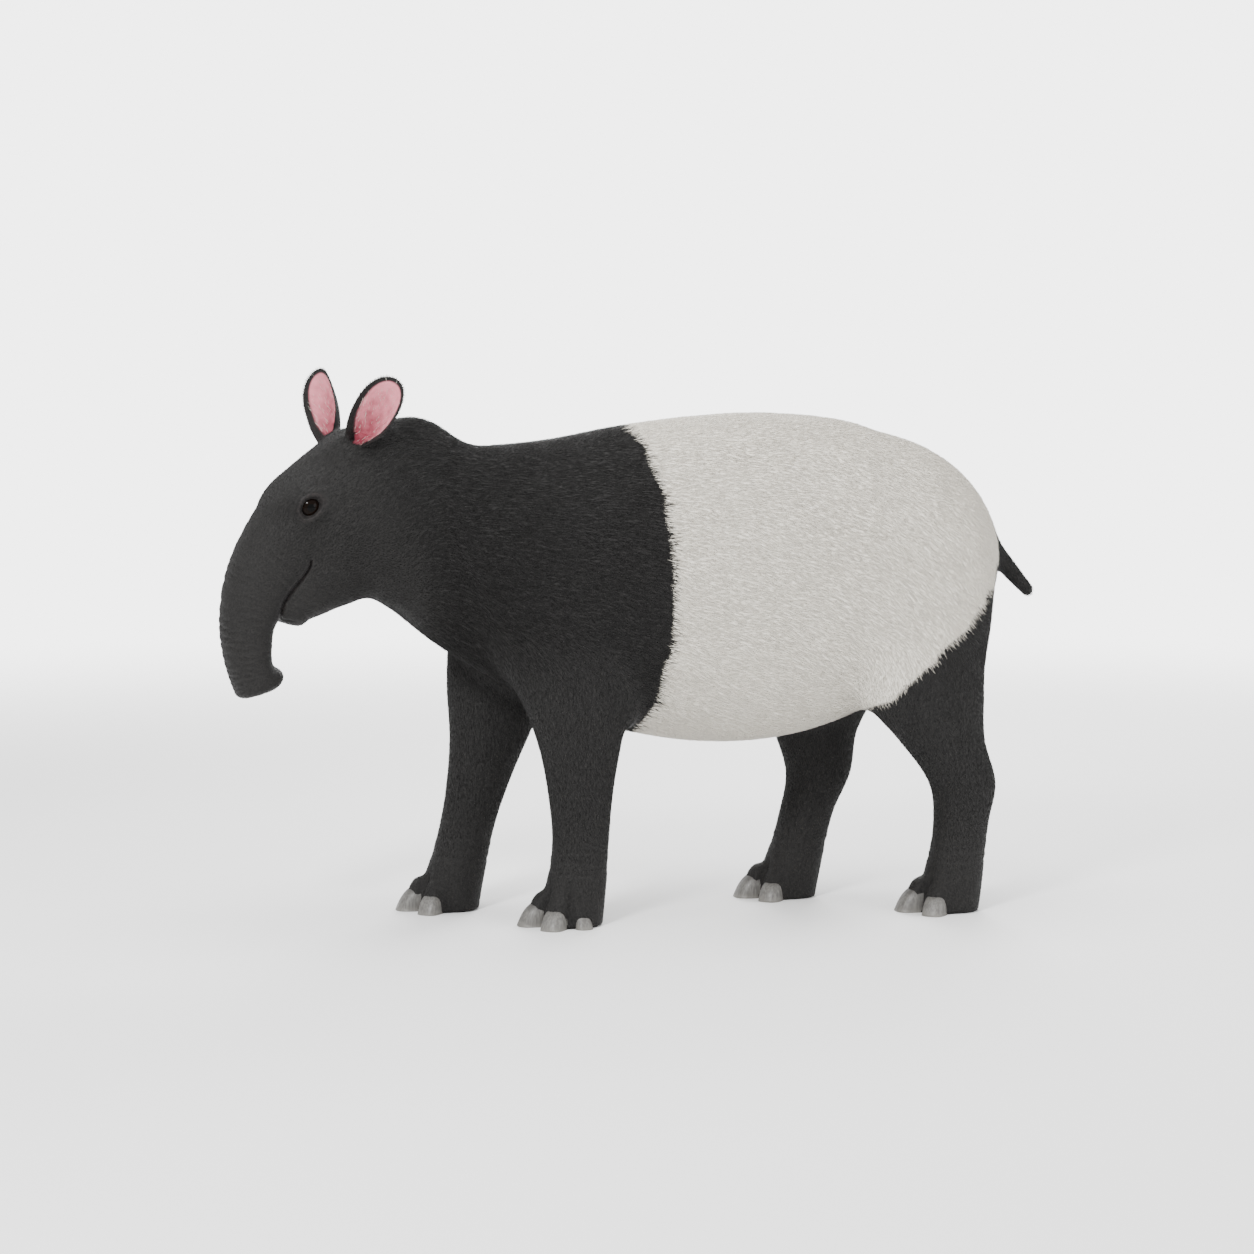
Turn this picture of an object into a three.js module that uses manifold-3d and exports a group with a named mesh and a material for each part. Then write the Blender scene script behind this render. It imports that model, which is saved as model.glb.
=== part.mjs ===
// A life-size Malayan tapir, built as the still model that a museum shows.
// It is caught in a slow walk, with its head low and its short trunk hanging.
// Millimetres, +Z up. The animal faces -X, its left side faces -Y, and it stands on z = 0.
//
// The body is one smooth surface, described as a signed distance: negative inside, zero on the skin.
// Lofts give the trunk, neck, head and legs, and blends join them. The surface is meshed piece by
// piece, each at its own fineness, and parted along planes where one part of the body meets the next.

import * as THREE from "three";
import { mergeVertices } from "three/addons/utils/BufferGeometryUtils.js";
import Module from "manifold-3d";

const wasm = await Module();
wasm.setup();

// Driving dimensions
const GAP = 0.3; // clearance between two parts that touch
const SADDLE_FRONT = { x: -12, z: 660, radius: 1020 }; // where the white saddle begins, a shallow arc
const FLANK_ENDS = { left: [420, 420], right: [248, 405] }; // low end of the saddle's rear edge, x and z
const FLANK_TOP = [706, 700]; // its high end
const HEAD = { x: -548, z: 884, pitch: 31, yaw: 13 }; // its poll, and degrees nose down and to the left
const SNOUT_END = [424, -216]; // end of the middle line of the short trunk
const EYE = { u: 178, v: 36, radius: 25, sunk: 20.5, lid: 4.4, wide: 58, high: 45, arch: 0.12 };
const EAR = { length: 152, width: 90, wall: 8, u: 32, v: 86, w: 66, mound: 25, rise: 14 };
const EAR_CUP = { deep: 42, flatter: 0.42, bow: 12, bowEnds: 1.1, thinner: { edge: 0.22, tip: 0.3 } };
const EAR_CANAL = { up: 24, front: 5, reaches: [18, 35, 16] };
const EARS = {
  left: { stands: [0.46, -0.35, 0.81], faces: [-0.45, -0.88, 0.12] },
  right: { stands: [-0.24, 0.22, 0.95], faces: [-0.8, -0.6, 0.05] },
};
const HOOF = { length: 31, width: 26, height: 47, lean: 0.4, power: 2.8, ahead: 19 };
const MOUTH = {
  slot: 3.6,
  reach: 160,
  line: [
    [226, -56], [234, -66], [252, -75.5], [276, -84.5],
    [300, -96], [314, -106], [324, -120], [330, -146],
  ],
};
const NOSTRIL = { ahead: 22, below: 18, side: 17, reaches: [13, 16, 10] };
const TAIL = { root: [634, 0, 800], tip: [784, 0, 636], rootRadius: 36, tipRadius: 16 };
const TAIL_ROOM = { radius: 52, from: 46, to: 320 }; // measured along the tail from its root
const ANKLE = 118; // height where a foot meets its leg
const MIDDLE = -34; // middle of the animal's length, in the frame that the sizes here are in

// Widths over which one form flows into the next
const FLOW = {
  rump: 90, head: 76, leg: 46, tail: 26,
  shoulder: 80, toe: 14,
  tipLip: 20, jaw: 15, jawRoot: 60, cheek: 44, brow: 40, mound: 22,
};

// Distances

const clamp = THREE.MathUtils.clamp;
const radians = THREE.MathUtils.degToRad;

// Union of two distances, the seam between them filled over a width of k.
function blend(a, b, k) {
  const near = Math.max(k - Math.abs(a - b), 0) / k;
  return Math.min(a, b) - (near * near * k) / 4;
}

// Distance to a superellipsoid rim along the ray from its centre, each offset with its own reach.
function rim(p, q, r, pReach, qReach, rReach, power) {
  const share =
    Math.pow(Math.abs(p) / pReach, power) +
    Math.pow(Math.abs(q) / qReach, power) +
    Math.pow(Math.abs(r) / rReach, power);
  const length = Math.hypot(p, q, r);
  if (share === 0) return -Math.min(pReach, qReach);
  return length * (1 - 1 / Math.pow(share, 1 / power));
}

// Smooth values between stations. Each row is a place followed by the values there.
function profile(rows) {
  const values = rows[0].length - 1;
  const curve = new THREE.CubicInterpolant(
    rows.map((row) => row[0]),
    rows.flatMap((row) => row.slice(1)),
    values,
  );
  curve.settings = { endingStart: THREE.ZeroSlopeEnding, endingEnd: THREE.ZeroSlopeEnding };
  return curve;
}

// Body along X. Rows: x, top, bottom, level of the widest line, half width.
function trunkLoft(rows, frontCap, rearCap, power) {
  const curve = profile(rows);
  const front = rows[0][0];
  const rear = rows.at(-1)[0];
  return (x, y, z) => {
    const [top, bottom, level, half] = curve.evaluate(clamp(x, front, rear));
    const past = x < front ? x - front : Math.max(x - rear, 0);
    const cap = x < front ? frontCap : rearCap;
    const reach = z > level ? top - level : level - bottom;
    return rim(y, z - level, past, half, reach, cap, power);
  };
}

// Limb along Z, with a flat lower end and a round upper one. Rows, from the sole up: z, centre x,
// centre y, reach in front, reach behind, half width.
function limbLoft(rows, power) {
  const curve = profile(rows);
  const low = rows[0][0];
  const high = rows.at(-1)[0];
  const cap = 60;
  const flat = 8;
  return (x, y, z) => {
    const [cx, cy, ahead, behind, half] = curve.evaluate(clamp(z, low, high));
    const past = z < low ? (z - low) * flat : Math.max(z - high, 0);
    return rim(x - cx, y - cy, past, x < cx ? ahead : behind, half, cap, power);
  };
}

// Part along a bent line in the head's own plane. Rows: u, v, reach above, reach below, half width.
function bentLoft(rows, rearCap, frontCap, power, steps = 90) {
  const curve = profile(rows.map((row, i) => [i, ...row]));
  const line = [];
  for (let i = 0; i <= steps; i++) line.push([...curve.evaluate((i / steps) * (rows.length - 1))]);
  const stride = 6;
  return (u, v, w) => {
    let best = Infinity;
    let nearest = 0;
    for (let i = 0; i <= steps; i += stride) {
      const distance = Math.hypot(u - line[i][0], v - line[i][1]);
      if (distance < best) {
        best = distance;
        nearest = i;
      }
    }
    best = Infinity;
    let at = 0;
    let share = 0;
    for (let i = Math.max(nearest - stride, 0); i < Math.min(nearest + stride, steps); i++) {
      const du = line[i + 1][0] - line[i][0];
      const dv = line[i + 1][1] - line[i][1];
      const along = ((u - line[i][0]) * du + (v - line[i][1]) * dv) / (du * du + dv * dv);
      const t = clamp(along, 0, 1);
      const distance = Math.hypot(u - line[i][0] - t * du, v - line[i][1] - t * dv);
      if (distance < best) {
        best = distance;
        at = i;
        share = t;
      }
    }
    const a = line[at];
    const b = line[at + 1];
    const mix = (k) => a[k] + share * (b[k] - a[k]);
    const heading = Math.atan2(b[1] - a[1], b[0] - a[0]);
    const du = u - mix(0);
    const dv = v - mix(1);
    const past = du * Math.cos(heading) + dv * Math.sin(heading);
    const over = dv * Math.cos(heading) - du * Math.sin(heading);
    const cap = past < 0 ? rearCap : frontCap;
    return rim(w, over, past, mix(4), over > 0 ? mix(2) : mix(3), cap, power);
  };
}

// An ellipsoid, turned by a tilt in the XZ plane (degrees, front end down).
function ellipsoid(centre, reaches, tilt = 0) {
  const c = Math.cos(radians(tilt));
  const s = Math.sin(radians(tilt));
  return (x, y, z) => {
    const dx = x - centre[0];
    const dz = z - centre[2];
    return rim(dx * c - dz * s, y - centre[1], dx * s + dz * c, ...reaches, 2);
  };
}

// A straight limb from one round end to the other.
function roundCone(from, to, fromRadius, toRadius) {
  const axis = to.map((value, i) => value - from[i]);
  const length2 = axis.reduce((sum, value) => sum + value * value, 0);
  return (x, y, z) => {
    const p = [x - from[0], y - from[1], z - from[2]];
    const along = p.reduce((sum, value, i) => sum + value * axis[i], 0) / length2;
    const t = clamp(along, 0, 1);
    const away = Math.hypot(...p.map((value, i) => value - t * axis[i]));
    return away - (fromRadius + t * (toRadius - fromRadius));
  };
}

// Trunk and neck, one form from the poll to the loins, with the rump round its end

const trunk = trunkLoft(
  [
    [-600, 936, 676, 816, 100],
    [-530, 948, 618, 796, 122],
    [-450, 944, 552, 764, 146],
    [-340, 938, 484, 714, 176],
    [-220, 950, 422, 682, 210],
    [-80, 974, 370, 660, 240],
    [90, 996, 342, 648, 258],
    [250, 996, 346, 650, 256],
    [400, 950, 392, 668, 226],
    [520, 860, 480, 690, 170],
  ],
  60,
  60,
  2.15,
);
const rump = ellipsoid([392, 0, 706], [324, 228, 262]);

// Legs. Each row is a height, then the leg's reach in front and behind, and half its width.

const FORELEG = [
  [-25, 72, 56, 64],
  [0, 72, 56, 64],
  [40, 70, 58, 62],
  [100, 60, 58, 56],
  [170, 57, 58, 53],
  [258, 67, 66, 61],
  [350, 82, 86, 69],
  [450, 106, 116, 79],
  [600, 126, 128, 80],
];
const FORE_LINES = {
  left: [-182, -182, -180, -174, -170, -170, -174, -184, -208],
  right: [-392, -392, -388, -376, -360, -336, -314, -294, -268],
};
const FORE_SIDE = [110, 110, 110, 109, 110, 112, 116, 122, 126];

const HIND_LEG = [
  [-25, 72, 56, 62],
  [0, 72, 56, 62],
  [40, 70, 58, 60],
  [100, 59, 58, 54],
  [175, 55, 60, 51],
  [255, 61, 79, 57],
  [345, 89, 93, 68],
  [450, 134, 136, 90],
  [590, 164, 160, 106],
  [720, 160, 140, 96],
];
const HIND_LINES = {
  left: [590, 590, 594, 602, 610, 606, 566, 516, 490, 484],
  right: [312, 312, 317, 329, 346, 364, 368, 386, 434, 468],
};
const HIND_SIDE = [112, 112, 111, 108, 106, 106, 114, 124, 122, 108];

const SIDES = { left: -1, right: 1 };

function limb(shape, line, side, spread) {
  return limbLoft(
    shape.map(([z, ...reaches], i) => [z, line[i], side * spread[i], ...reaches]),
    2.2,
  );
}

// Toes fan out round a foot: the turn from straight ahead, the reach, the size and the height.
const FORE_TOES = [
  { name: "inner", turn: -52, reach: 53, size: 0.88 },
  { name: "middle", turn: 0, reach: 54, size: 1.04 },
  { name: "outer", turn: 52, reach: 53, size: 0.9 },
  { name: "side", turn: 104, reach: 46, size: 0.66 },
];
const HIND_TOES = [
  { name: "inner", turn: -52, reach: 53, size: 0.9 },
  { name: "middle", turn: 0, reach: 54, size: 1.08 },
  { name: "outer", turn: 52, reach: 53, size: 0.9 },
];

const LEGS = [];
for (const [side, sign] of Object.entries(SIDES)) {
  LEGS.push({
    name: `fore_${side}`,
    sign,
    toes: FORE_TOES,
    foot: [FORE_LINES[side][1], sign * FORE_SIDE[1]],
    distance: limb(FORELEG, FORE_LINES[side], sign, FORE_SIDE),
    span: [Math.min(...FORE_LINES[side]) - 90, -90, 890],
    shoulder: ellipsoid([-226, sign * 124, 650], [128, 82, 205], -14),
  });
  LEGS.push({
    name: `hind_${side}`,
    sign,
    toes: HIND_TOES,
    foot: [HIND_LINES[side][1], sign * HIND_SIDE[1]],
    distance: limb(HIND_LEG, HIND_LINES[side], sign, HIND_SIDE),
    span: [Math.min(...HIND_LINES[side]) - 150, 690, 920],
    shoulder: ellipsoid([478, sign * 116, 662], [176, 102, 190], 20),
  });
}

// Where a toe stands, in the part's frame, and the direction that it points.
function toePlace(leg, toe) {
  const turn = radians(toe.turn);
  const ahead = [-Math.cos(turn), leg.sign * Math.sin(turn)];
  return {
    x: leg.foot[0] - 8 + ahead[0] * toe.reach,
    y: leg.foot[1] + ahead[1] * toe.reach,
    ahead,
  };
}

for (const leg of LEGS) {
  leg.toeShapes = leg.toes.map((toe) => {
    const { x, y } = toePlace(leg, toe);
    const lump = 30 * toe.size;
    return ellipsoid([x, y, 14], [lump, lump, 52 * toe.size]);
  });
}

// The space that a leg and its blends can reach
const LEG_ROOM = { along: 130, above: 70, below: 80, outer: 250, inner: 40 };
for (const leg of LEGS) {
  const { along, above, below, outer, inner } = LEG_ROOM;
  const sides = leg.sign < 0 ? [-outer, inner] : [-inner, outer];
  leg.space = new THREE.Box3(
    new THREE.Vector3(leg.span[0] - along, sides[0], -below),
    new THREE.Vector3(leg.span[1] + along, sides[1], leg.span[2] + above),
  );
}

function legDistance(leg, x, y, z) {
  let d = blend(leg.distance(x, y, z), leg.shoulder(x, y, z), FLOW.shoulder);
  for (const toe of leg.toeShapes) d = blend(d, toe(x, y, z), FLOW.toe);
  return d;
}

// Head, in its own frame: u ahead along the face, v up from the palate, w to the animal's right.

const HEAD_TURN = new THREE.Matrix4()
  .makeTranslation(HEAD.x, 0, HEAD.z)
  .multiply(new THREE.Matrix4().makeRotationZ(radians(HEAD.yaw)))
  .multiply(new THREE.Matrix4().makeRotationY(radians(-HEAD.pitch)))
  .multiply(new THREE.Matrix4().makeBasis(
    new THREE.Vector3(-1, 0, 0),
    new THREE.Vector3(0, 0, 1),
    new THREE.Vector3(0, 1, 0),
  ));
const HEAD_BACK = HEAD_TURN.clone().invert();
const inHead = (x, y, z) => new THREE.Vector3(x, y, z).applyMatrix4(HEAD_BACK);
const fromHead = (u, v, w) => new THREE.Vector3(u, v, w).applyMatrix4(HEAD_TURN);

const face = bentLoft(
  [
    [-60, -8, 80, 104, 98],
    [40, 4, 102, 118, 106],
    [140, 2, 101, 104, 99],
    [235, -20, 88, 82, 84],
    [312, -54, 75, 62, 70],
    [370, -102, 61, 50, 59],
    [402, -150, 52, 44, 52],
    [418, -190, 47, 40, 48],
    [...SNOUT_END, 45, 39, 46],
  ],
  84,
  21,
  2.2,
);

const jaw = bentLoft(
  [
    [20, -56, 70, 116, 92],
    [110, -72, 66, 112, 90],
    [200, -88, 58, 96, 81],
    [262, -104, 48, 72, 69],
    [296, -116, 38, 54, 58],
  ],
  24,
  34,
  2.15,
);
const JAW_ROOT = [170, 235]; // u where the jaw lies smooth in the cheek, and where its lip begins

const cheek = ellipsoid([66, -40, 0], [104, 104, 110]);
const tipLip = ellipsoid([394, -222, 0], [25, 19, 35]);
const brow = ellipsoid([EYE.u - 12, EYE.v + 22, 60], [50, 20, 25]);

// Surface of the head in its own frame
function headSkin(u, v, w) {
  let d = blend(face(u, v, w), tipLip(u, v, w), FLOW.tipLip);
  const lipped = THREE.MathUtils.smoothstep(u, ...JAW_ROOT);
  d = blend(d, jaw(u, v, w), FLOW.jawRoot + lipped * (FLOW.jaw - FLOW.jawRoot));
  d = blend(d, cheek(u, v, w), FLOW.cheek);
  return blend(d, brow(u, v, Math.abs(w)), FLOW.brow);
}

// Root of an ear, and the directions up it, out of its cup and across it
function earFrame(name) {
  const root = fromHead(EAR.u, EAR.v, SIDES[name] * EAR.w);
  const up = new THREE.Vector3(...EARS[name].stands).normalize();
  const front = new THREE.Vector3(...EARS[name].faces).projectOnPlane(up).normalize();
  return { root, up, front, across: new THREE.Vector3().crossVectors(up, front) };
}

// The mound that each ear stands on
const MOUND = { sunk: 34, wider: 16 };
const earMounds = Object.keys(EARS).map((name) => {
  const { root, up } = earFrame(name);
  const low = root.clone().addScaledVector(up, -MOUND.sunk);
  return roundCone(low.toArray(), root.toArray(), EAR.mound + MOUND.wider, EAR.mound);
});

function headDistance(x, y, z) {
  const p = inHead(x, y, z);
  const skin = headSkin(p.x, p.y, p.z);
  return earMounds.reduce((d, mound) => blend(d, mound(x, y, z), FLOW.mound), skin);
}

const tail = roundCone(TAIL.root, TAIL.tip, TAIL.rootRadius, TAIL.tipRadius);

const HEAD_ENDS = -300; // the head and what flows into it lie ahead of this x

// The whole surface
function body(x, y, z) {
  let d = blend(trunk(x, y, z), rump(x, y, z), FLOW.rump);
  if (x < HEAD_ENDS) d = blend(d, headDistance(x, y, z), FLOW.head);
  const p = new THREE.Vector3(x, y, z);
  for (const leg of LEGS)
    if (leg.space.containsPoint(p)) d = blend(d, legDistance(leg, x, y, z), FLOW.leg);
  return blend(d, tail(x, y, z), FLOW.tail);
}

// Meshing

// The zero surface of a distance inside a box, as a closed mesh with a vertex in each cell that it
// crosses. The vertices are drawn onto the true surface and evened out along it.
function meshSurface(distance, low, high, steps, evenings = 4) {
  const step = Math.max(...steps);
  const count = low.map((value, i) => Math.ceil((high[i] - value) / steps[i]) + 1);
  const size = count.map((cells, i) => (high[i] - low[i]) / (cells - 1));
  const strides = [1, count[0], count[0] * count[1]];
  const place = (i, j, k) => [low[0] + i * size[0], low[1] + j * size[1], low[2] + k * size[2]];
  const field = new Float32Array(count[0] * count[1] * count[2]).fill(step);
  // Blocks of samples far from the surface take the sign of their middle.
  const block = 4;
  for (let k0 = 1; k0 < count[2] - 1; k0 += block)
    for (let j0 = 1; j0 < count[1] - 1; j0 += block)
      for (let i0 = 1; i0 < count[0] - 1; i0 += block) {
        const middle = distance(...place(i0 + 1.5, j0 + 1.5, k0 + 1.5));
        const far = Math.abs(middle) > 7 * step;
        for (let k = k0; k < Math.min(k0 + block, count[2] - 1); k++)
          for (let j = j0; j < Math.min(j0 + block, count[1] - 1); j++)
            for (let i = i0; i < Math.min(i0 + block, count[0] - 1); i++)
              field[i + j * strides[1] + k * strides[2]] = far ? middle : distance(...place(i, j, k));
      }

  const corners = [0, 1, 2, 3, 4, 5, 6, 7].map((c) => [c & 1, (c >> 1) & 1, (c >> 2) & 1]);
  const edges = corners.flatMap((a, i) =>
    corners.flatMap((b, j) =>
      i < j && Math.abs(a[0] - b[0]) + Math.abs(a[1] - b[1]) + Math.abs(a[2] - b[2]) === 1
        ? [[i, j]]
        : [],
    ),
  );
  const faces = [0, 1, 2].flatMap((axis) =>
    [0, 1].map((value) => edges.flatMap(([a, b], e) =>
      corners[a][axis] === value && corners[b][axis] === value ? [e] : [])),
  );
  // The edges that one sheet of the surface crosses in a cell, for each sheet in it. Where a face
  // is crossed four times, its two inside corners are kept apart.
  const sheets = (at) => {
    const group = edges.map(([a, b], e) => (at[a] < 0 !== at[b] < 0 ? e : -1));
    const join = (e, f) => {
      const [from, to] = [group[f], group[e]];
      group.forEach((value, i) => {
        if (value === from) group[i] = to;
      });
    };
    const meetInside = (e, f) => edges[e].some((corner) => at[corner] < 0 && edges[f].includes(corner));
    for (const face of faces) {
      const crossed = face.filter((e) => group[e] >= 0);
      if (crossed.length === 2) join(crossed[0], crossed[1]);
      if (crossed.length === 4)
        for (const e of crossed)
          for (const f of crossed) if (e < f && meetInside(e, f)) join(e, f);
    }
    return group;
  };
  const vertexOf = new Map();
  const points = [];
  const free = [];
  for (let k = 0; k < count[2] - 1; k++)
    for (let j = 0; j < count[1] - 1; j++)
      for (let i = 0; i < count[0] - 1; i++) {
        const base = i + j * strides[1] + k * strides[2];
        const at = corners.map((c) => field[base + c[0] + c[1] * strides[1] + c[2] * strides[2]]);
        const insides = at.filter((value) => value < 0).length;
        if (insides === 0 || insides === 8) continue;
        const group = sheets(at);
        for (const id of new Set(group)) {
          if (id < 0) continue;
          const sum = [0, 0, 0];
          let crossings = 0;
          edges.forEach(([a, b], e) => {
            if (group[e] !== id) return;
            const t = at[a] / (at[a] - at[b]);
            corners[a].forEach((value, axis) => {
              sum[axis] += value + t * (corners[b][axis] - value);
            });
            crossings++;
            // An edge is known by its lowest corner and its axis, and the cell's place round it.
            const low = corners[a].map((value, axis) => Math.min(value, corners[b][axis]));
            const axis = corners[a].findIndex((value, n) => value !== corners[b][n]);
            const edge = (base + low[0] + low[1] * strides[1] + low[2] * strides[2]) * 3 + axis;
            const turn = low[(axis + 1) % 3] + 2 * low[(axis + 2) % 3];
            vertexOf.set(edge * 4 + turn, points.length);
          });
          const mean = sum.map((value) => value / crossings);
          points.push([i, j, k].map((index, axis) => low[axis] + (index + mean[axis]) * size[axis]));
          free.push([i, j, k].every((index, axis) => index > 1 && index < count[axis] - 3));
        }
      }

  const quads = [];
  for (let k = 0; k < count[2] - 1; k++)
    for (let j = 0; j < count[1] - 1; j++)
      for (let i = 0; i < count[0] - 1; i++) {
        const base = i + j * strides[1] + k * strides[2];
        for (let axis = 0; axis < 3; axis++) {
          const inside = field[base] < 0;
          if (inside === field[base + strides[axis]] < 0) continue;
          const ring = [0, 1, 3, 2].map((turn) => vertexOf.get((base * 3 + axis) * 4 + turn));
          quads.push(inside ? ring : ring.reverse());
        }
      }

  const drawIn = (p) => {
    const h = 0.5;
    for (let turn = 0; turn < 3; turn++) {
      const d = distance(...p);
      const slope = [0, 1, 2].map((axis) => {
        const q = [...p];
        q[axis] += h;
        return (distance(...q) - d) / h;
      });
      const steepness = Math.max(slope.reduce((sum, value) => sum + value * value, 0), 0.2);
      const move = clamp(d / steepness, -step, step);
      slope.forEach((value, axis) => {
        p[axis] -= move * value;
      });
    }
  };
  const near = points.map(() => new Set());
  for (const quad of quads)
    quad.forEach((v, i) => near[v].add(quad[(i + 1) % 4]).add(quad[(i + 3) % 4]));
  points.forEach((p, i) => free[i] && drawIn(p));
  for (let round = 0; round < evenings; round++) {
    const means = points.map((p, i) => {
      const sum = [0, 0, 0];
      for (const n of near[i]) points[n].forEach((value, axis) => (sum[axis] += value));
      return sum.map((value) => value / near[i].size);
    });
    points.forEach((p, i) => {
      if (!free[i]) return;
      p.forEach((value, axis) => (p[axis] += 0.5 * (means[i][axis] - value)));
      drawIn(p);
    });
  }

  // Each quad is split along the diagonal that lies nearer the surface.
  const triangles = quads.flatMap(([a, b, c, d]) => {
    const off = (p, q) => Math.abs(distance(...points[p].map((value, i) => (value + points[q][i]) / 2)));
    return off(a, c) <= off(b, d) ? [a, b, c, a, c, d] : [b, c, d, b, d, a];
  });
  return new wasm.Manifold(
    new wasm.Mesh({
      numProp: 3,
      vertProperties: new Float32Array(points.flat()),
      triVerts: new Uint32Array(triangles),
    }),
  );
}

// Solids

// A closed three.js geometry as a solid, placed by a matrix.
function solidOf(geometry, matrix = new THREE.Matrix4()) {
  const bare = geometry.clone();
  bare.deleteAttribute("normal");
  bare.deleteAttribute("uv");
  bare.applyMatrix4(matrix);
  const merged = mergeVertices(bare, 1e-3);
  return new wasm.Manifold(
    new wasm.Mesh({
      numProp: 3,
      vertProperties: new Float32Array(merged.attributes.position.array),
      triVerts: new Uint32Array(merged.index.array),
    }),
  );
}

// Everything on the side of a plane that its normal points to, from half a gap off the plane.
function beyond(at, normal, reach = 2400) {
  const block = new THREE.BoxGeometry(reach, reach, reach);
  const turn = new THREE.Quaternion().setFromUnitVectors(new THREE.Vector3(0, 0, 1), normal);
  const centre = at.clone().addScaledVector(normal, reach / 2 + GAP / 2);
  return solidOf(block, new THREE.Matrix4().compose(centre, turn, new THREE.Vector3(1, 1, 1)));
}

// A cut between two parts: the half space ahead of it and the one behind.
function cut(at, normal) {
  const unit = normal.clone().normalize();
  return { ahead: beyond(at, unit), behind: beyond(at, unit.clone().negate()) };
}

// Only the largest closed body of a solid.
function largest(solid) {
  return solid.decompose().reduce((best, piece) => (piece.volume() > best.volume() ? piece : best));
}

const model = new THREE.Group();

function addNode(name, solid, material) {
  const mesh = largest(solid).getMesh();
  const geometry = new THREE.BufferGeometry();
  const positions = new Float32Array(mesh.numVert * 3);
  for (let i = 0; i < mesh.numVert; i++)
    positions.set(mesh.vertProperties.subarray(i * mesh.numProp, i * mesh.numProp + 3), i * 3);
  geometry.setAttribute("position", new THREE.BufferAttribute(positions, 3));
  geometry.setIndex(new THREE.BufferAttribute(new Uint32Array(mesh.triVerts), 1));
  geometry.computeVertexNormals();
  const node = new THREE.Mesh(geometry, material);
  node.name = name;
  model.add(node);
}

// Materials
const paint = (color, roughness) => new THREE.MeshStandardMaterial({ color, roughness, metalness: 0 });
const blackCoat = paint(0x2a2929, 0.7);
const whiteCoat = paint(0xdedacb, 0.75);
const horn = paint(0x8d8a82, 0.5);
const eyeGloss = paint(0x120c09, 0.12);

// Cuts between the parts of the body
const side = (u, v, du, dv) => {
  const at = fromHead(u, v, 0);
  return cut(at, fromHead(u + du, v + dv, 0).sub(at));
};
const muzzleCut = side(402, -150, 0.48, -0.88);
const napeCut = cut(new THREE.Vector3(-474, 0, 760), new THREE.Vector3(-0.96, -0.05, -0.28));
const neckCut = cut(new THREE.Vector3(-352, 0, 740), new THREE.Vector3(-1, 0, 0.12));

function saddleCylinder(radius) {
  const width = 1200;
  const sides = 160;
  const round = new THREE.CylinderGeometry(radius, radius, width, sides);
  const centre = new THREE.Matrix4().makeTranslation(
    SADDLE_FRONT.x - SADDLE_FRONT.radius, 0, SADDLE_FRONT.z);
  return solidOf(round, centre);
}
const foreOfSaddle = saddleCylinder(SADDLE_FRONT.radius - GAP / 2);
const saddleOn = saddleCylinder(SADDLE_FRONT.radius + GAP / 2);

// A foreleg leaves the body below a slanting plane and ahead of an upright one. A hind leg leaves it
// below a plane from the flank to the tail.
const ELBOW = { y: 100, z: 440, slope: 0.55 };
const ELBOW_REAR = { left: -60, right: -140 };
const legSpace = {};
const legRest = {};
for (const [name, sign] of Object.entries(SIDES)) {
  const half = cut(new THREE.Vector3(0, 0, 0), new THREE.Vector3(0, sign, 0));
  const elbowAt = new THREE.Vector3(0, sign * ELBOW.y, ELBOW.z);
  const elbow = cut(elbowAt, new THREE.Vector3(0, sign * ELBOW.slope, -1));
  const rear = cut(new THREE.Vector3(ELBOW_REAR[name], 0, 0), new THREE.Vector3(-1, 0, 0));
  legSpace[`fore_${name}`] = elbow.ahead.intersect(rear.ahead).intersect(half.ahead);
  legRest[`fore_${name}`] = elbow.behind.add(rear.behind).add(half.behind);
  const [x, z] = FLANK_ENDS[name];
  const rise = new THREE.Vector3(FLANK_TOP[0] - x, 0, FLANK_TOP[1] - z).normalize();
  const flank = cut(new THREE.Vector3(x, 0, z), new THREE.Vector3(rise.z, 0, -rise.x));
  legSpace[`hind_${name}`] = flank.ahead.intersect(half.ahead);
  legRest[`hind_${name}`] = flank.behind.add(half.behind);
}
const floorCut = beyond(new THREE.Vector3(0, 0, -GAP / 2), new THREE.Vector3(0, 0, 1));
const ankleCut = cut(new THREE.Vector3(0, 0, ANKLE), new THREE.Vector3(0, 0, 1));

// A round room along a line, from one radius to the other
function sleeve(from, to, fromRadius, toRadius, sides = 24) {
  const along = to.clone().sub(from);
  const tube = new THREE.CylinderGeometry(toRadius, fromRadius, along.length(), sides);
  tube.translate(0, along.length() / 2, 0);
  const turn = new THREE.Quaternion().setFromUnitVectors(new THREE.Vector3(0, 1, 0), along.normalize());
  return solidOf(tube, new THREE.Matrix4().compose(from, turn, new THREE.Vector3(1, 1, 1)));
}

function tailRoom(grow) {
  const root = new THREE.Vector3(...TAIL.root);
  const along = new THREE.Vector3(...TAIL.tip).sub(root).normalize();
  const from = root.clone().addScaledVector(along, TAIL_ROOM.from - grow);
  const to = root.clone().addScaledVector(along, TAIL_ROOM.to);
  return sleeve(from, to, TAIL_ROOM.radius + grow, TAIL_ROOM.radius + grow);
}

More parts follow.
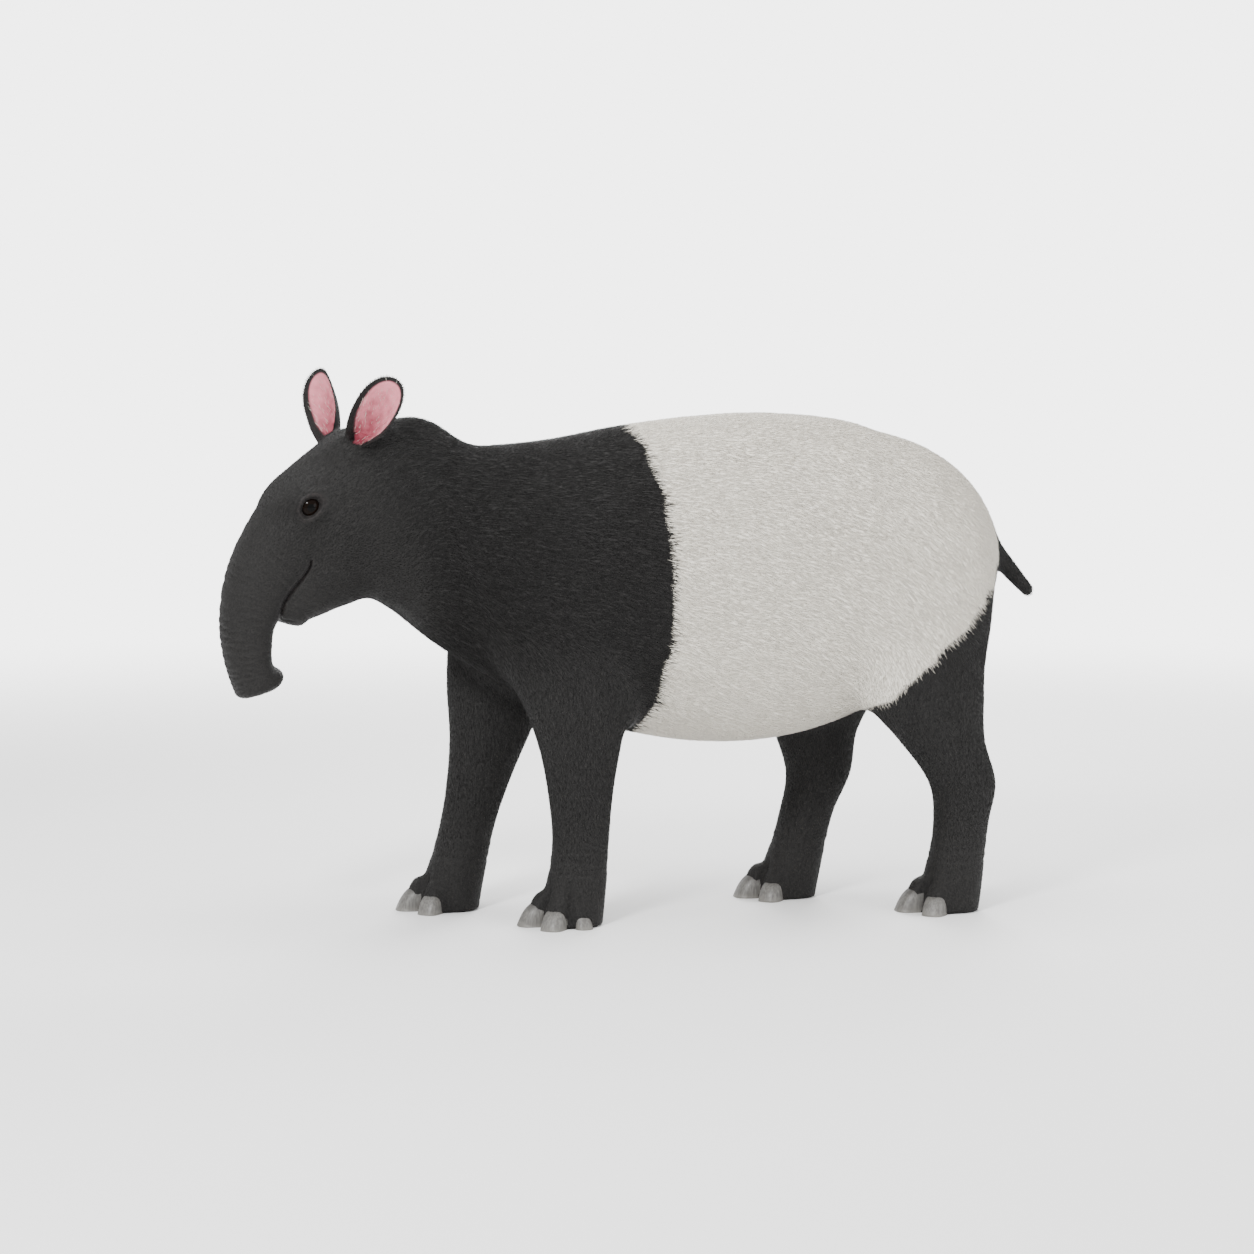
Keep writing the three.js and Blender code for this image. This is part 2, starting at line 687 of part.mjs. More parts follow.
// Hooves: a blunt, leaning nail on each toe, cut flat where it stands.
function hoofSolid(leg, toe, grow) {
  const { x, y, ahead } = toePlace(leg, toe);
  const round = new THREE.SphereGeometry(1, 10, 6);
  const spots = round.attributes.position;
  const p = new THREE.Vector3();
  for (let i = 0; i < spots.count; i++) {
    p.fromBufferAttribute(spots, i);
    const share = [p.x, p.y, p.z].reduce((sum, value) => sum + Math.abs(value) ** HOOF.power, 0);
    p.multiplyScalar(share ** (-1 / HOOF.power));
    spots.setXYZ(i, p.x, p.y, p.z);
  }
  const lean = new THREE.Matrix4().set(1, 0, -HOOF.lean, 0, 0, 1, 0, 0, 0, 0, 1, 0, 0, 0, 0, 1);
  const out = HOOF.ahead * toe.size;
  const matrix = new THREE.Matrix4()
    .makeTranslation(x + ahead[0] * out, y + ahead[1] * out, 0)
    .multiply(new THREE.Matrix4().makeRotationZ(Math.atan2(ahead[1], ahead[0])))
    .multiply(lean)
    .multiply(new THREE.Matrix4().makeScale(
      HOOF.length * toe.size + grow,
      HOOF.width * toe.size + grow,
      HOOF.height * toe.size + grow,
    ))
    .multiply(new THREE.Matrix4().makeRotationX(Math.PI / 2));
  return solidOf(round, matrix);
}

// A sphere squashed and turned into place
function roundSolid(centre, reaches, turn = new THREE.Quaternion(), around = 12, along = 7) {
  const round = new THREE.SphereGeometry(1, around, along);
  return solidOf(round, new THREE.Matrix4().compose(centre, turn, new THREE.Vector3(...reaches)));
}

// Eyes: the ball, its socket, and lids that follow the ball round the opening.
function eyeParts(sign) {
  let w = 0;
  while (headSkin(EYE.u, EYE.v, w) < 0) w += 0.5;
  const at = new THREE.Vector3(EYE.u, EYE.v, w);
  const slope = ["x", "y", "z"].map((axis) => {
    const q = at.clone();
    q[axis] += 1;
    return headSkin(q.x, q.y, q.z) - headSkin(at.x, at.y, at.z);
  });
  const out = new THREE.Vector3(...slope).normalize();
  const centre = at.clone().addScaledVector(out, -EYE.sunk);
  const ahead = new THREE.Vector3(1, -0.25, 0).projectOnPlane(out).normalize();
  const up = new THREE.Vector3().crossVectors(out, ahead).normalize();
  if (up.y < 0) up.negate();
  const place = (v) => fromHead(v.x, v.y, sign * v.z);
  const rimPoints = [];
  const points = 20;
  for (let i = 0; i < points; i++) {
    const turn = (i / points) * 2 * Math.PI;
    const wide = radians(EYE.wide) * Math.cos(turn);
    const high = radians(EYE.high) * Math.sin(turn) * (1 + EYE.arch * Math.sin(turn));
    const tilt = Math.hypot(wide, high);
    const v = out.clone().multiplyScalar(Math.cos(tilt))
      .addScaledVector(ahead, (Math.sin(tilt) * wide) / tilt)
      .addScaledVector(up, (Math.sin(tilt) * high) / tilt);
    rimPoints.push(place(centre.clone().addScaledVector(v, EYE.radius)));
  }
  const rimCurve = new THREE.CatmullRomCurve3(rimPoints, true);
  const lids = solidOf(new THREE.TubeGeometry(rimCurve, points, EYE.lid, 6, true));
  const spot = place(centre);
  const ball = roundSolid(spot, [EYE.radius, EYE.radius, EYE.radius]);
  const bigger = EYE.radius + GAP;
  return { lids, ball, room: roundSolid(spot, [bigger, bigger, bigger]) };
}

// Ears: an oval cup, set by the direction that it stands in and the one that it faces. It flares from
// its root up to its widest, and ends round. Its last row of points turns almost to the very tip.
const EAR_FLARE = profile([[0, 0.4], [0.12, 0.6], [0.3, 0.88], [0.55, 1]]);
const EAR_WIDEST = 0.55;
const EAR_ROUND = { along: 2.3, across: 2.1 }; // powers of the rounded end
const EAR_TIP = { turn: 0.475 * Math.PI, thin: 0.8, power: 24 };
const EAR_ROWS = { rising: 5, ending: 6 };
const EAR_COLUMNS = 6;
const EAR_ROOM = { low: 42, high: 150, length: 200 };

// How much of its width an ear has left where it closes towards its tip
function earClosing(t) {
  const past = clamp((t - EAR_WIDEST) / (1 - EAR_WIDEST), 0, 1);
  return (1 - past ** EAR_ROUND.along) ** (1 / EAR_ROUND.across);
}

function earHalf(t) {
  return (EAR.width / 2) * EAR_FLARE.evaluate(Math.min(t, EAR_WIDEST))[0] * earClosing(t);
}

// The places up an ear where its rows of points lie, closer together towards the tip
function earRows() {
  const rising = Array.from({ length: EAR_ROWS.rising }, (_, i) => (EAR_WIDEST * i) / EAR_ROWS.rising);
  const ending = Array.from({ length: EAR_ROWS.ending }, (_, i) => {
    const turn = (i / (EAR_ROWS.ending - 1)) * EAR_TIP.turn;
    return EAR_WIDEST + (1 - EAR_WIDEST) * Math.sin(turn);
  });
  return [...rising, ...ending];
}

function earCup(name) {
  const { root, up, front, across } = earFrame(name);
  const places = earRows();
  const rows = places.length - 1;
  const columns = EAR_COLUMNS;
  // A point on the cup: t up it, v across it, face 1 on the inside and -1 on the back.
  const at = (t, v, face) => {
    const deep = EAR_CUP.deep * (1 - EAR_CUP.flatter * t);
    const thinned = (1 - EAR_CUP.thinner.edge * v * v) * (1 - EAR_CUP.thinner.tip * t);
    const wall = EAR.wall * thinned * Math.sqrt(1 - EAR_TIP.thin * t ** EAR_TIP.power);
    const bow = EAR_CUP.bow * Math.sin((Math.PI * t) / EAR_CUP.bowEnds);
    const forward = deep * ((v * earClosing(t)) ** 2 - 0.5) - bow + (face * wall) / 2;
    return root.clone()
      .addScaledVector(up, EAR.length * t)
      .addScaledVector(across, earHalf(t) * v)
      .addScaledVector(front, forward);
  };
  const points = [];
  for (const face of [-1, 1])
    for (const t of places)
      for (let j = 0; j <= columns; j++) points.push(at(t, (2 * j) / columns - 1, face));
  const index = (i, j, face) => (face * (rows + 1) + i) * (columns + 1) + j;
  const triangles = [];
  const quad = (a, b, c, d) => triangles.push(a, b, c, a, c, d);
  for (let i = 0; i < rows; i++) {
    for (let j = 0; j < columns; j++) {
      quad(index(i, j, 1), index(i, j + 1, 1), index(i + 1, j + 1, 1), index(i + 1, j, 1));
      quad(index(i, j, 0), index(i + 1, j, 0), index(i + 1, j + 1, 0), index(i, j + 1, 0));
    }
    quad(index(i, 0, 0), index(i, 0, 1), index(i + 1, 0, 1), index(i + 1, 0, 0));
    quad(index(i, columns, 1), index(i, columns, 0), index(i + 1, columns, 0), index(i + 1, columns, 1));
  }
  for (let j = 0; j < columns; j++) {
    quad(index(0, j, 1), index(0, j, 0), index(0, j + 1, 0), index(0, j + 1, 1));
    quad(index(rows, j, 0), index(rows, j, 1), index(rows, j + 1, 1), index(rows, j + 1, 0));
  }
  return solidOf(new THREE.BufferGeometry().setFromPoints(points).setIndex(triangles));
}

// The hollow that a cup runs down into
function earCanal(name) {
  const { root, up, front, across } = earFrame(name);
  const centre = root.clone().addScaledVector(up, EAR_CANAL.up).addScaledVector(front, EAR_CANAL.front);
  const turn = new THREE.Quaternion().setFromRotationMatrix(
    new THREE.Matrix4().makeBasis(across, front.clone().negate(), up));
  const [wide, tall, deep] = EAR_CANAL.reaches;
  return roundSolid(centre, [wide, deep, tall], turn);
}

// The space above an ear's root, with its floor and sides moved out by grow
function earRoom(name, grow) {
  const { root, up } = earFrame(name);
  const from = root.clone().addScaledVector(up, EAR.rise - grow);
  const to = root.clone().addScaledVector(up, EAR.rise + EAR_ROOM.length);
  return sleeve(from, to, EAR_ROOM.low + grow, EAR_ROOM.high + grow);
}

// The slot between the lips, right across the head
function mouthSlot() {
  const line = new THREE.SplineCurve(MOUTH.line.map((p) => new THREE.Vector2(...p))).getPoints(24);
  const offset = (i, side) => {
    const next = line[Math.min(i + 1, line.length - 1)];
    const last = line[Math.max(i - 1, 0)];
    const along = next.clone().sub(last).normalize();
    const half = MOUTH.slot / 2;
    return new THREE.Vector2(line[i].x - along.y * side * half, line[i].y + along.x * side * half);
  };
  const above = line.map((_, i) => offset(i, 1));
  const below = line.map((_, i) => offset(i, -1)).reverse();
  const shape = new THREE.Shape([...above, ...below]);
  const slab = new THREE.ExtrudeGeometry(shape, { depth: 2 * MOUTH.reach, bevelEnabled: false });
  slab.translate(0, 0, -MOUTH.reach);
  return solidOf(slab, HEAD_TURN);
}

function nostrilHoles() {
  const [u, v] = SNOUT_END;
  const turn = new THREE.Quaternion().setFromRotationMatrix(HEAD_TURN);
  const [left, right] = Object.values(SIDES).map((sign) => {
    const centre = fromHead(u + NOSTRIL.ahead, v - NOSTRIL.below, sign * NOSTRIL.side);
    return roundSolid(centre, NOSTRIL.reaches, turn);
  });
  return left.add(right);
}

// Nodes, each meshed inside a box of its own: its low corner, its high corner and its steps
const BOXES = {
  proboscis: [[-940, -170, 400], [-740, 110, 740], [15, 14, 15]],
  head: [[-960, -250, 400], [-320, 250, 1060], [24, 21, 22]],
  neck: [[-700, -300, 360], [-200, 300, 1100], [38, 35, 38]],
  shoulders: [[-540, -340, 260], [140, 340, 1080], [54, 46, 46]],
  barrel: [[-200, -340, 240], [870, 340, 1100], [60, 49, 49]],
  tail: [[560, -90, 560], [850, 90, 860], [15, 15, 15]],
};
const MOUND_BOX = { reach: 90, step: 17 };
const LEG_BOX = { outer: 350, inner: -110, ahead: 200, rear: 60, top: 680, steps: [31, 29, 47] };
const HIND_REACH = { rear: 870, top: 880 };
const FOOT_BOX = { ahead: 190, behind: 130, aside: 150, low: -84, high: 205, steps: [22, 21, 22] };

const fitted = (box) => meshSurface(body, ...box);

const proboscis = fitted(BOXES.proboscis).intersect(muzzleCut.ahead).subtract(nostrilHoles());
addNode("proboscis", proboscis, blackCoat);

let head = fitted(BOXES.head).intersect(muzzleCut.behind).intersect(napeCut.ahead).subtract(mouthSlot());
for (const [name, sign] of Object.entries(SIDES)) {
  const { root } = earFrame(name);
  const low = root.clone().subScalar(MOUND_BOX.reach).toArray();
  const high = root.clone().addScalar(MOUND_BOX.reach).toArray();
  const mound = fitted([low, high, Array(3).fill(MOUND_BOX.step)]);
  const canal = earCanal(name);
  const cup = earCup(name);
  addNode(`ear_${name}`, mound.subtract(canal).add(cup).intersect(earRoom(name, 0)), blackCoat);
  head = head.subtract(canal).add(cup).subtract(earRoom(name, GAP));
  const eye = eyeParts(sign);
  head = head.add(eye.lids).subtract(eye.room);
  addNode(`eye_${name}`, eye.ball, eyeGloss);
}
addNode("head", head, blackCoat);

addNode(
  "neck",
  fitted(BOXES.neck).intersect(napeCut.behind).intersect(neckCut.ahead).intersect(legRest.fore_right),
  blackCoat,
);
addNode(
  "shoulders",
  fitted(BOXES.shoulders)
    .intersect(neckCut.behind)
    .intersect(foreOfSaddle)
    .intersect(legRest.fore_left)
    .intersect(legRest.fore_right),
  blackCoat,
);
addNode(
  "barrel",
  fitted(BOXES.barrel)
    .subtract(saddleOn)
    .intersect(legRest.hind_left)
    .intersect(legRest.hind_right)
    .intersect(legRest.fore_left)
    .subtract(tailRoom(GAP)),
  whiteCoat,
);
addNode("tail", fitted(BOXES.tail).intersect(tailRoom(0)), blackCoat);

for (const leg of LEGS) {
  const name = leg.sign < 0 ? "left" : "right";
  const fore = leg.name.startsWith("fore");
  const [x, y] = leg.foot;
  const sides = [leg.sign * LEG_BOX.outer, leg.sign * LEG_BOX.inner].sort((a, b) => a - b);
  const front = (fore ? x : Math.min(x, FLANK_ENDS[name][0])) - LEG_BOX.ahead;
  const rear = fore ? LEG_BOX.rear : HIND_REACH.rear;
  const top = fore ? LEG_BOX.top : HIND_REACH.top;
  addNode(
    `leg_${leg.name}`,
    fitted([[front, sides[0], 0], [rear, sides[1], top], LEG_BOX.steps])
      .intersect(legSpace[leg.name])
      .intersect(ankleCut.ahead)
      .subtract(tailRoom(GAP)),
    blackCoat,
  );
  const low = [x - FOOT_BOX.ahead, y - FOOT_BOX.aside, FOOT_BOX.low];
  const high = [x + FOOT_BOX.behind, y + FOOT_BOX.aside, FOOT_BOX.high];
  let foot = fitted([low, high, FOOT_BOX.steps]).intersect(floorCut).intersect(ankleCut.behind);
  for (const toe of leg.toes) foot = foot.subtract(hoofSolid(leg, toe, GAP));
  addNode(`foot_${leg.name}`, foot, blackCoat);
  for (const toe of leg.toes)
    addNode(`hoof_${leg.name}_${toe.name}`, hoofSolid(leg, toe, 0).intersect(floorCut), horn);
}

// The origin lies on the floor, under the middle of the whole animal.
model.position.x = -MIDDLE;

export default model;
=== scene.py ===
"""A Malayan tapir, life size and standing still, as a museum shows it.

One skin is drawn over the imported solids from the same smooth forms, a coat's depth inside them. Short
fur lies on it as thin tufts, and the eyes and the hooves are pieces of their own. The forms are in
millimetres, in the animal's own frame: it faces -X, its left side faces -Y, and +Z is up.
"""

import math
from contextlib import contextmanager

import bmesh
import bpy
import numpy as np
from mathutils import Matrix, Vector


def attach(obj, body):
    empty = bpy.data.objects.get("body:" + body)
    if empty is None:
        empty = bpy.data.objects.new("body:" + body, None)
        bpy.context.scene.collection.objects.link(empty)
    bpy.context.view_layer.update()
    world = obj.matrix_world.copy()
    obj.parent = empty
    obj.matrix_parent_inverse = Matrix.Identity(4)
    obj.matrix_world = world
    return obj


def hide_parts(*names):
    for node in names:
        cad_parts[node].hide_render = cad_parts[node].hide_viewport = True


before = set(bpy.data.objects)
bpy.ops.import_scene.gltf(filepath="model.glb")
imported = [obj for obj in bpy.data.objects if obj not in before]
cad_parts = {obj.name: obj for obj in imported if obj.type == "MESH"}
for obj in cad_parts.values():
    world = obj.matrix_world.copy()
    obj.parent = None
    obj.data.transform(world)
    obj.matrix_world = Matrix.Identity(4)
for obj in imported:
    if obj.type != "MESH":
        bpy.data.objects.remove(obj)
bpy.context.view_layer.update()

MM = 0.001
SHIFT = 34  # the frame's origin lies this far ahead of the animal's own, along X
SIDES = {"left": -1, "right": 1}
SEED = 5090

# Driving dimensions, as in the solids
SADDLE_FRONT = {"x": -12, "z": 660, "radius": 1020}
FLANK_ENDS = {"left": (420, 420), "right": (248, 405)}
FLANK_TOP = (706, 700)
HEAD = {"x": -548, "z": 884, "pitch": 31, "yaw": 13}
EYE = {"u": 178, "v": 36, "radius": 25, "sunk": 20.5, "lid": 4.4, "wide": 58, "high": 45}
EAR = {"length": 150, "width": 87, "wall": 6.4, "u": 32, "v": 86, "w": 66, "mound": 25}
EAR_CUP = {"deep": 42, "flatter": 0.42, "bow": 12, "bow_ends": 1.1}
EARS = {
    "left": {"stands": (0.46, -0.35, 0.81), "faces": (-0.45, -0.88, 0.12)},
    "right": {"stands": (-0.24, 0.22, 0.95), "faces": (-0.8, -0.6, 0.05)},
}
HOOF = {"length": 31, "width": 26, "height": 47, "lean": 0.4, "power": 2.8, "ahead": 19}
MOUTH_POINTS = (
    (226, -56), (234, -66), (252, -75.5), (276, -84.5), (300, -96), (314, -106), (324, -120), (330, -146))
NOSTRIL = {"ahead": 22, "below": 18, "side": 17, "reaches": (13, 16, 10)}
TAIL = {"root": (634, 0, 800), "tip": (784, 0, 636), "root_radius": 36, "tip_radius": 16}
SNOUT_END = (424, -216)

# How far the skin lies inside the solids, where the coat is full and where it is thinnest
COAT_DEPTH = {"body": 4.5, "face": 1.8}

# How wide each seam between two forms is filled
FLOW = {
    "rump": 90, "head": 76, "leg": 46, "tail": 26, "shoulder": 80, "toe": 14, "lip": 20, "jaw": (60, 15),
    "cheek": 44, "brow": 40, "mound": 22, "canal": 8, "lid": 30, "lid_edge": 2, "nostril": 5,
}


# Distances

def unit(v):
    v = np.asarray(v, float)
    return v / np.linalg.norm(v)


def lengths(rows):
    return np.linalg.norm(rows, axis=1)


def units(rows):
    return rows / lengths(rows)[:, None]


def blend(a, b, k):
    """Union of two distances, the seam between them filled over a width of k."""
    near = np.maximum(k - np.abs(a - b), 0) / k
    return np.minimum(a, b) - near * near * k / 4


def carve(a, b, k):
    """The first solid with the second taken out of it, the edge rounded over a width of k."""
    return -blend(-a, b, k)


def ramp(x, start, end):
    """From 0 at start to 1 at end, smoothly."""
    t = np.clip((x - start) / (end - start), 0, 1)
    return t * t * (3 - 2 * t)


def rim(offsets, reaches, power):
    """Distance to a superellipsoid rim along the ray from its centre."""
    share = sum(np.abs(o / r) ** power for o, r in zip(offsets, reaches))
    length = np.sqrt(sum(o * o for o in offsets))
    return length * (1 - np.maximum(share, 1e-12) ** (-1 / power))


def profile(rows):
    """Smooth values between stations. Each row is a place followed by the values there."""
    rows = np.array(rows, float)
    at, values = rows[:, 0], rows[:, 1:]
    secants = np.diff(values, axis=0) / np.diff(at)[:, None]
    slopes = np.zeros_like(values)
    slopes[1:-1] = (secants[1:] + secants[:-1]) / 2

    def curve(t):
        t = np.clip(t, at[0], at[-1])
        i = np.clip(np.searchsorted(at, t, side="right") - 1, 0, len(at) - 2)
        wide = at[i + 1] - at[i]
        s = (t - at[i]) / wide
        fore, aft = s * s * (3 - 2 * s), s * (1 - s)
        wide = wide[..., None]
        fore, s_, aft = fore[..., None], s[..., None], aft[..., None]
        out = values[i] * (1 - fore) + values[i + 1] * fore
        out = out + wide * aft * (slopes[i] * (1 - s_) - slopes[i + 1] * s_)
        return np.moveaxis(out, -1, 0)

    return curve


def trunk_loft(rows, front_cap, rear_cap, power):
    """Body along X. Rows: x, top, bottom, level of the widest line, half width."""
    curve = profile(rows)
    front, rear = rows[0][0], rows[-1][0]

    def distance(x, y, z):
        top, bottom, level, half = curve(x)
        past = np.minimum(x - front, 0) + np.maximum(x - rear, 0)
        cap = np.where(x < front, front_cap, rear_cap)
        reach = np.where(z > level, top - level, level - bottom)
        return rim((y, z - level, past), (half, reach, cap), power)

    return distance


def limb_loft(rows, power=2.2, cap=60):
    """Limb along Z. Rows: z, centre x, centre y, reach in front, reach behind, half width."""
    curve = profile(rows)
    low, high = rows[0][0], rows[-1][0]

    def distance(x, y, z):
        cx, cy, ahead, behind, half = curve(z)
        past = np.minimum(z - low, 0) * 8 + np.maximum(z - high, 0)
        return rim((x - cx, y - cy, past), (np.where(x < cx, ahead, behind), half, cap), power)

    return distance


def nearest_on(line, u, v):
    """The length of a bent line that each point is nearest to, and the share of the way along it."""
    best = np.full(u.shape, np.inf)
    at = np.zeros(u.shape, int)
    share = np.zeros(u.shape)
    for i, (a, b) in enumerate(zip(line[:-1], line[1:])):
        du, dv = b[0] - a[0], b[1] - a[1]
        t = np.clip(((u - a[0]) * du + (v - a[1]) * dv) / (du * du + dv * dv), 0, 1)
        away = (u - a[0] - t * du) ** 2 + (v - a[1] - t * dv) ** 2
        nearer = away < best
        best[nearer] = away[nearer]
        at[nearer] = i
        share[nearer] = t[nearer]
    return at, share


def bent_loft(rows, rear_cap, front_cap, power, steps=90):
    """Part along a bent line in the head's own plane. Rows: u, v, reach above, reach below, half width."""
    curve = profile([(i, *row) for i, row in enumerate(rows)])
    line = curve(np.linspace(0, len(rows) - 1, steps + 1)).T

    def distance(u, v, w):
        at, share = nearest_on(line, u, v)
        a, b = line[at], line[at + 1]
        here = (a + share[:, None] * (b - a)).T
        heading = np.arctan2(b[:, 1] - a[:, 1], b[:, 0] - a[:, 0])
        du, dv = u - here[0], v - here[1]
        past = du * np.cos(heading) + dv * np.sin(heading)
        over = dv * np.cos(heading) - du * np.sin(heading)
        cap = np.where(past < 0, rear_cap, front_cap)
        return rim((w, over, past), (here[4], np.where(over > 0, here[2], here[3]), cap), power)

    return distance


def ellipsoid(centre, reaches, tilt=0):
    """An ellipsoid, turned by a tilt in the XZ plane: degrees, front end down."""
    c, s = math.cos(math.radians(tilt)), math.sin(math.radians(tilt))

    def distance(x, y, z):
        dx, dz = x - centre[0], z - centre[2]
        return rim((dx * c - dz * s, y - centre[1], dx * s + dz * c), reaches, 2)

    return distance


def round_cone(start, end, start_radius, end_radius):
    """A straight limb from one round end to the other."""
    start, axis = np.array(start, float), np.subtract(end, start)

    def distance(x, y, z):
        p = np.stack([x, y, z], -1) - start
        t = np.clip(p @ axis / (axis @ axis), 0, 1)
        away = np.linalg.norm(p - t[..., None] * axis, axis=-1)
        return away - (start_radius + t * (end_radius - start_radius))

    return distance


def line_distance(points, line):
    """Distance from each point to a line of straight lengths."""
    best = np.full(len(points), np.inf)
    for a, b in zip(line[:-1], line[1:]):
        axis = b - a
        t = np.clip((points - a) @ axis / (axis @ axis), 0, 1)
        best = np.minimum(best, lengths(points - a - t[:, None] * axis))
    return best


# Trunk, neck and legs, as in the solids

trunk = trunk_loft(
    [
        (-600, 936, 676, 816, 100),
        (-530, 948, 618, 796, 122),
        (-450, 944, 552, 764, 146),
        (-340, 938, 484, 714, 176),
        (-220, 950, 422, 682, 210),
        (-80, 974, 370, 660, 240),
        (90, 996, 342, 648, 258),
        (250, 996, 346, 650, 256),
        (400, 950, 392, 668, 226),
        (520, 860, 480, 690, 170),
    ],
    front_cap=60, rear_cap=60, power=2.15,
)
rump = ellipsoid((392, 0, 706), (324, 228, 262))

FORELEG = [
    (-25, 72, 56, 64), (0, 72, 56, 64), (40, 70, 58, 62), (100, 60, 58, 56), (170, 57, 58, 53),
    (258, 67, 66, 61), (350, 82, 86, 69), (450, 106, 116, 79), (600, 126, 128, 80),
]
FORE_LINES = {
    "left": (-182, -182, -180, -174, -170, -170, -174, -184, -208),
    "right": (-392, -392, -388, -376, -360, -336, -314, -294, -268),
}
FORE_SIDE = (110, 110, 110, 109, 110, 112, 116, 122, 126)
HIND_LEG = [
    (-25, 72, 56, 62), (0, 72, 56, 62), (40, 70, 58, 60), (100, 59, 58, 54), (175, 55, 60, 51),
    (255, 61, 79, 57), (345, 89, 93, 68), (450, 134, 136, 90), (590, 164, 160, 106),
    (720, 160, 140, 96),
]
HIND_LINES = {
    "left": (590, 590, 594, 602, 610, 606, 566, 516, 490, 484),
    "right": (312, 312, 317, 329, 346, 364, 368, 386, 434, 468),
}
HIND_SIDE = (112, 112, 111, 108, 106, 106, 114, 124, 122, 108)

# Toes fan out round a foot: the turn from straight ahead, the reach and the size.
HIND_TOES = {"inner": (-52, 53, 0.9), "middle": (0, 54, 1.08), "outer": (52, 53, 0.9)}
FORE_TOES = {
    "inner": (-52, 53, 0.88), "middle": (0, 54, 1.04), "outer": (52, 53, 0.9), "side": (104, 46, 0.66),
}
TOE_LUMP = {"z": 14, "across": 30, "high": 52}
FOOT_BACK = 8  # the toes fan out from a point this far ahead of the foot's middle

# The space that a leg and its blends can reach
LEG_ROOM = {"along": 130, "above": 70, "below": 80, "outer": 250, "inner": 40}


def toe_place(leg, toe):
    """Where a toe stands, and the way that it points."""
    turn, reach, _ = toe
    ahead = (-math.cos(math.radians(turn)), leg["sign"] * math.sin(math.radians(turn)))
    return leg["foot"][0] - FOOT_BACK + ahead[0] * reach, leg["foot"][1] + ahead[1] * reach, ahead


def make_leg(name, sign, toes, shape, line, spread, reach, top, shoulder):
    leg = {"name": name, "sign": sign, "toes": toes, "shoulder": shoulder}
    leg["foot"] = (line[1], sign * spread[1])
    rows = zip(shape, line, spread)
    leg["limb"] = limb_loft([(z, x, sign * y, *widths) for (z, *widths), x, y in rows])
    room = LEG_ROOM
    sides = sorted((sign * room["outer"], -sign * room["inner"]))
    leg["low"] = (min(line) - reach[0] - room["along"], sides[0], -room["below"])
    leg["high"] = (reach[1] + room["along"], sides[1], top + room["above"])
    turns = [toe[0] for toe in toes.values()]
    leg["clefts"] = [(a + b) / 2 for a, b in zip(turns[:-1], turns[1:])]
    leg["lumps"] = []
    for toe in toes.values():
        x, y, _ = toe_place(leg, toe)
        across, high = TOE_LUMP["across"] * toe[2], TOE_LUMP["high"] * toe[2]
        leg["lumps"].append(ellipsoid((x, y, TOE_LUMP["z"]), (across, across, high)))
    return leg


LEGS = []
for side, sign in SIDES.items():
    LEGS.append(make_leg(
        f"fore_{side}", sign, FORE_TOES, FORELEG, FORE_LINES[side], FORE_SIDE, (90, -90), 890,
        ellipsoid((-226, sign * 124, 650), (128, 82, 205), -14)))
    LEGS.append(make_leg(
        f"hind_{side}", sign, HIND_TOES, HIND_LEG, HIND_LINES[side], HIND_SIDE, (150, 690), 920,
        ellipsoid((478, sign * 116, 662), (176, 102, 190), 20)))


def in_room(leg, p):
    """Which points lie in the space that a leg and its blends can reach."""
    return np.all((p > leg["low"]) & (p < leg["high"]), axis=1)


def leg_distance(leg, x, y, z):
    d = blend(leg["limb"](x, y, z), leg["shoulder"](x, y, z), FLOW["shoulder"])
    for lump in leg["lumps"]:
        d = blend(d, lump(x, y, z), FLOW["toe"])
    return d


# Head, in its own frame: u ahead along the face, v up from the palate, w to the animal's right

HEAD_ORIGIN = np.array([HEAD["x"], 0, HEAD["z"]], float)
HEAD_TURN = np.array(
    Matrix.Rotation(math.radians(HEAD["yaw"]), 3, "Z")
    @ Matrix.Rotation(-math.radians(HEAD["pitch"]), 3, "Y")
    @ Matrix(((-1, 0, 0), (0, 0, 1), (0, 1, 0)))
)


def in_head(x, y, z):
    return HEAD_TURN.T @ (np.stack([x, y, z]) - HEAD_ORIGIN[:, None])


def from_head(u, v, w):
    return HEAD_TURN @ np.array([u, v, w], float) + HEAD_ORIGIN


FACE_ROWS = [
    (-60, -8, 80, 104, 98),
    (40, 4, 102, 118, 106),
    (140, 2, 101, 104, 99),
    (235, -20, 88, 82, 84),
    (312, -54, 75, 62, 70),
    (370, -102, 61, 50, 59),
    (402, -150, 52, 44, 52),
    (418, -190, 47, 40, 48),
    (*SNOUT_END, 45, 39, 46),
]
face = bent_loft(FACE_ROWS, rear_cap=84, front_cap=21, power=2.2)
jaw = bent_loft(
    [
        (20, -56, 70, 116, 92),
        (110, -72, 66, 112, 90),
        (200, -88, 58, 96, 81),
        (262, -104, 48, 72, 69),
        (296, -116, 38, 54, 58),
    ],
    rear_cap=24, front_cap=34, power=2.15,
)
cheek = ellipsoid((66, -40, 0), (104, 104, 110))
tip_lip = ellipsoid((394, -222, 0), (25, 19, 35))
brow = ellipsoid((EYE["u"] - 12, EYE["v"] + 22, 60), (50, 20, 25))
JAW_ROOT = (170, 235)  # u where the jaw lies smooth in the cheek, and where its lip begins


def head_skin(u, v, w):
    """Surface of the head in its own frame."""
    wide, narrow = FLOW["jaw"]
    d = blend(face(u, v, w), tip_lip(u, v, w), FLOW["lip"])
    d = blend(d, jaw(u, v, w), wide + (narrow - wide) * ramp(u, *JAW_ROOT))
    d = blend(d, cheek(u, v, w), FLOW["cheek"])
    return blend(d, brow(u, v, np.abs(w)), FLOW["brow"])


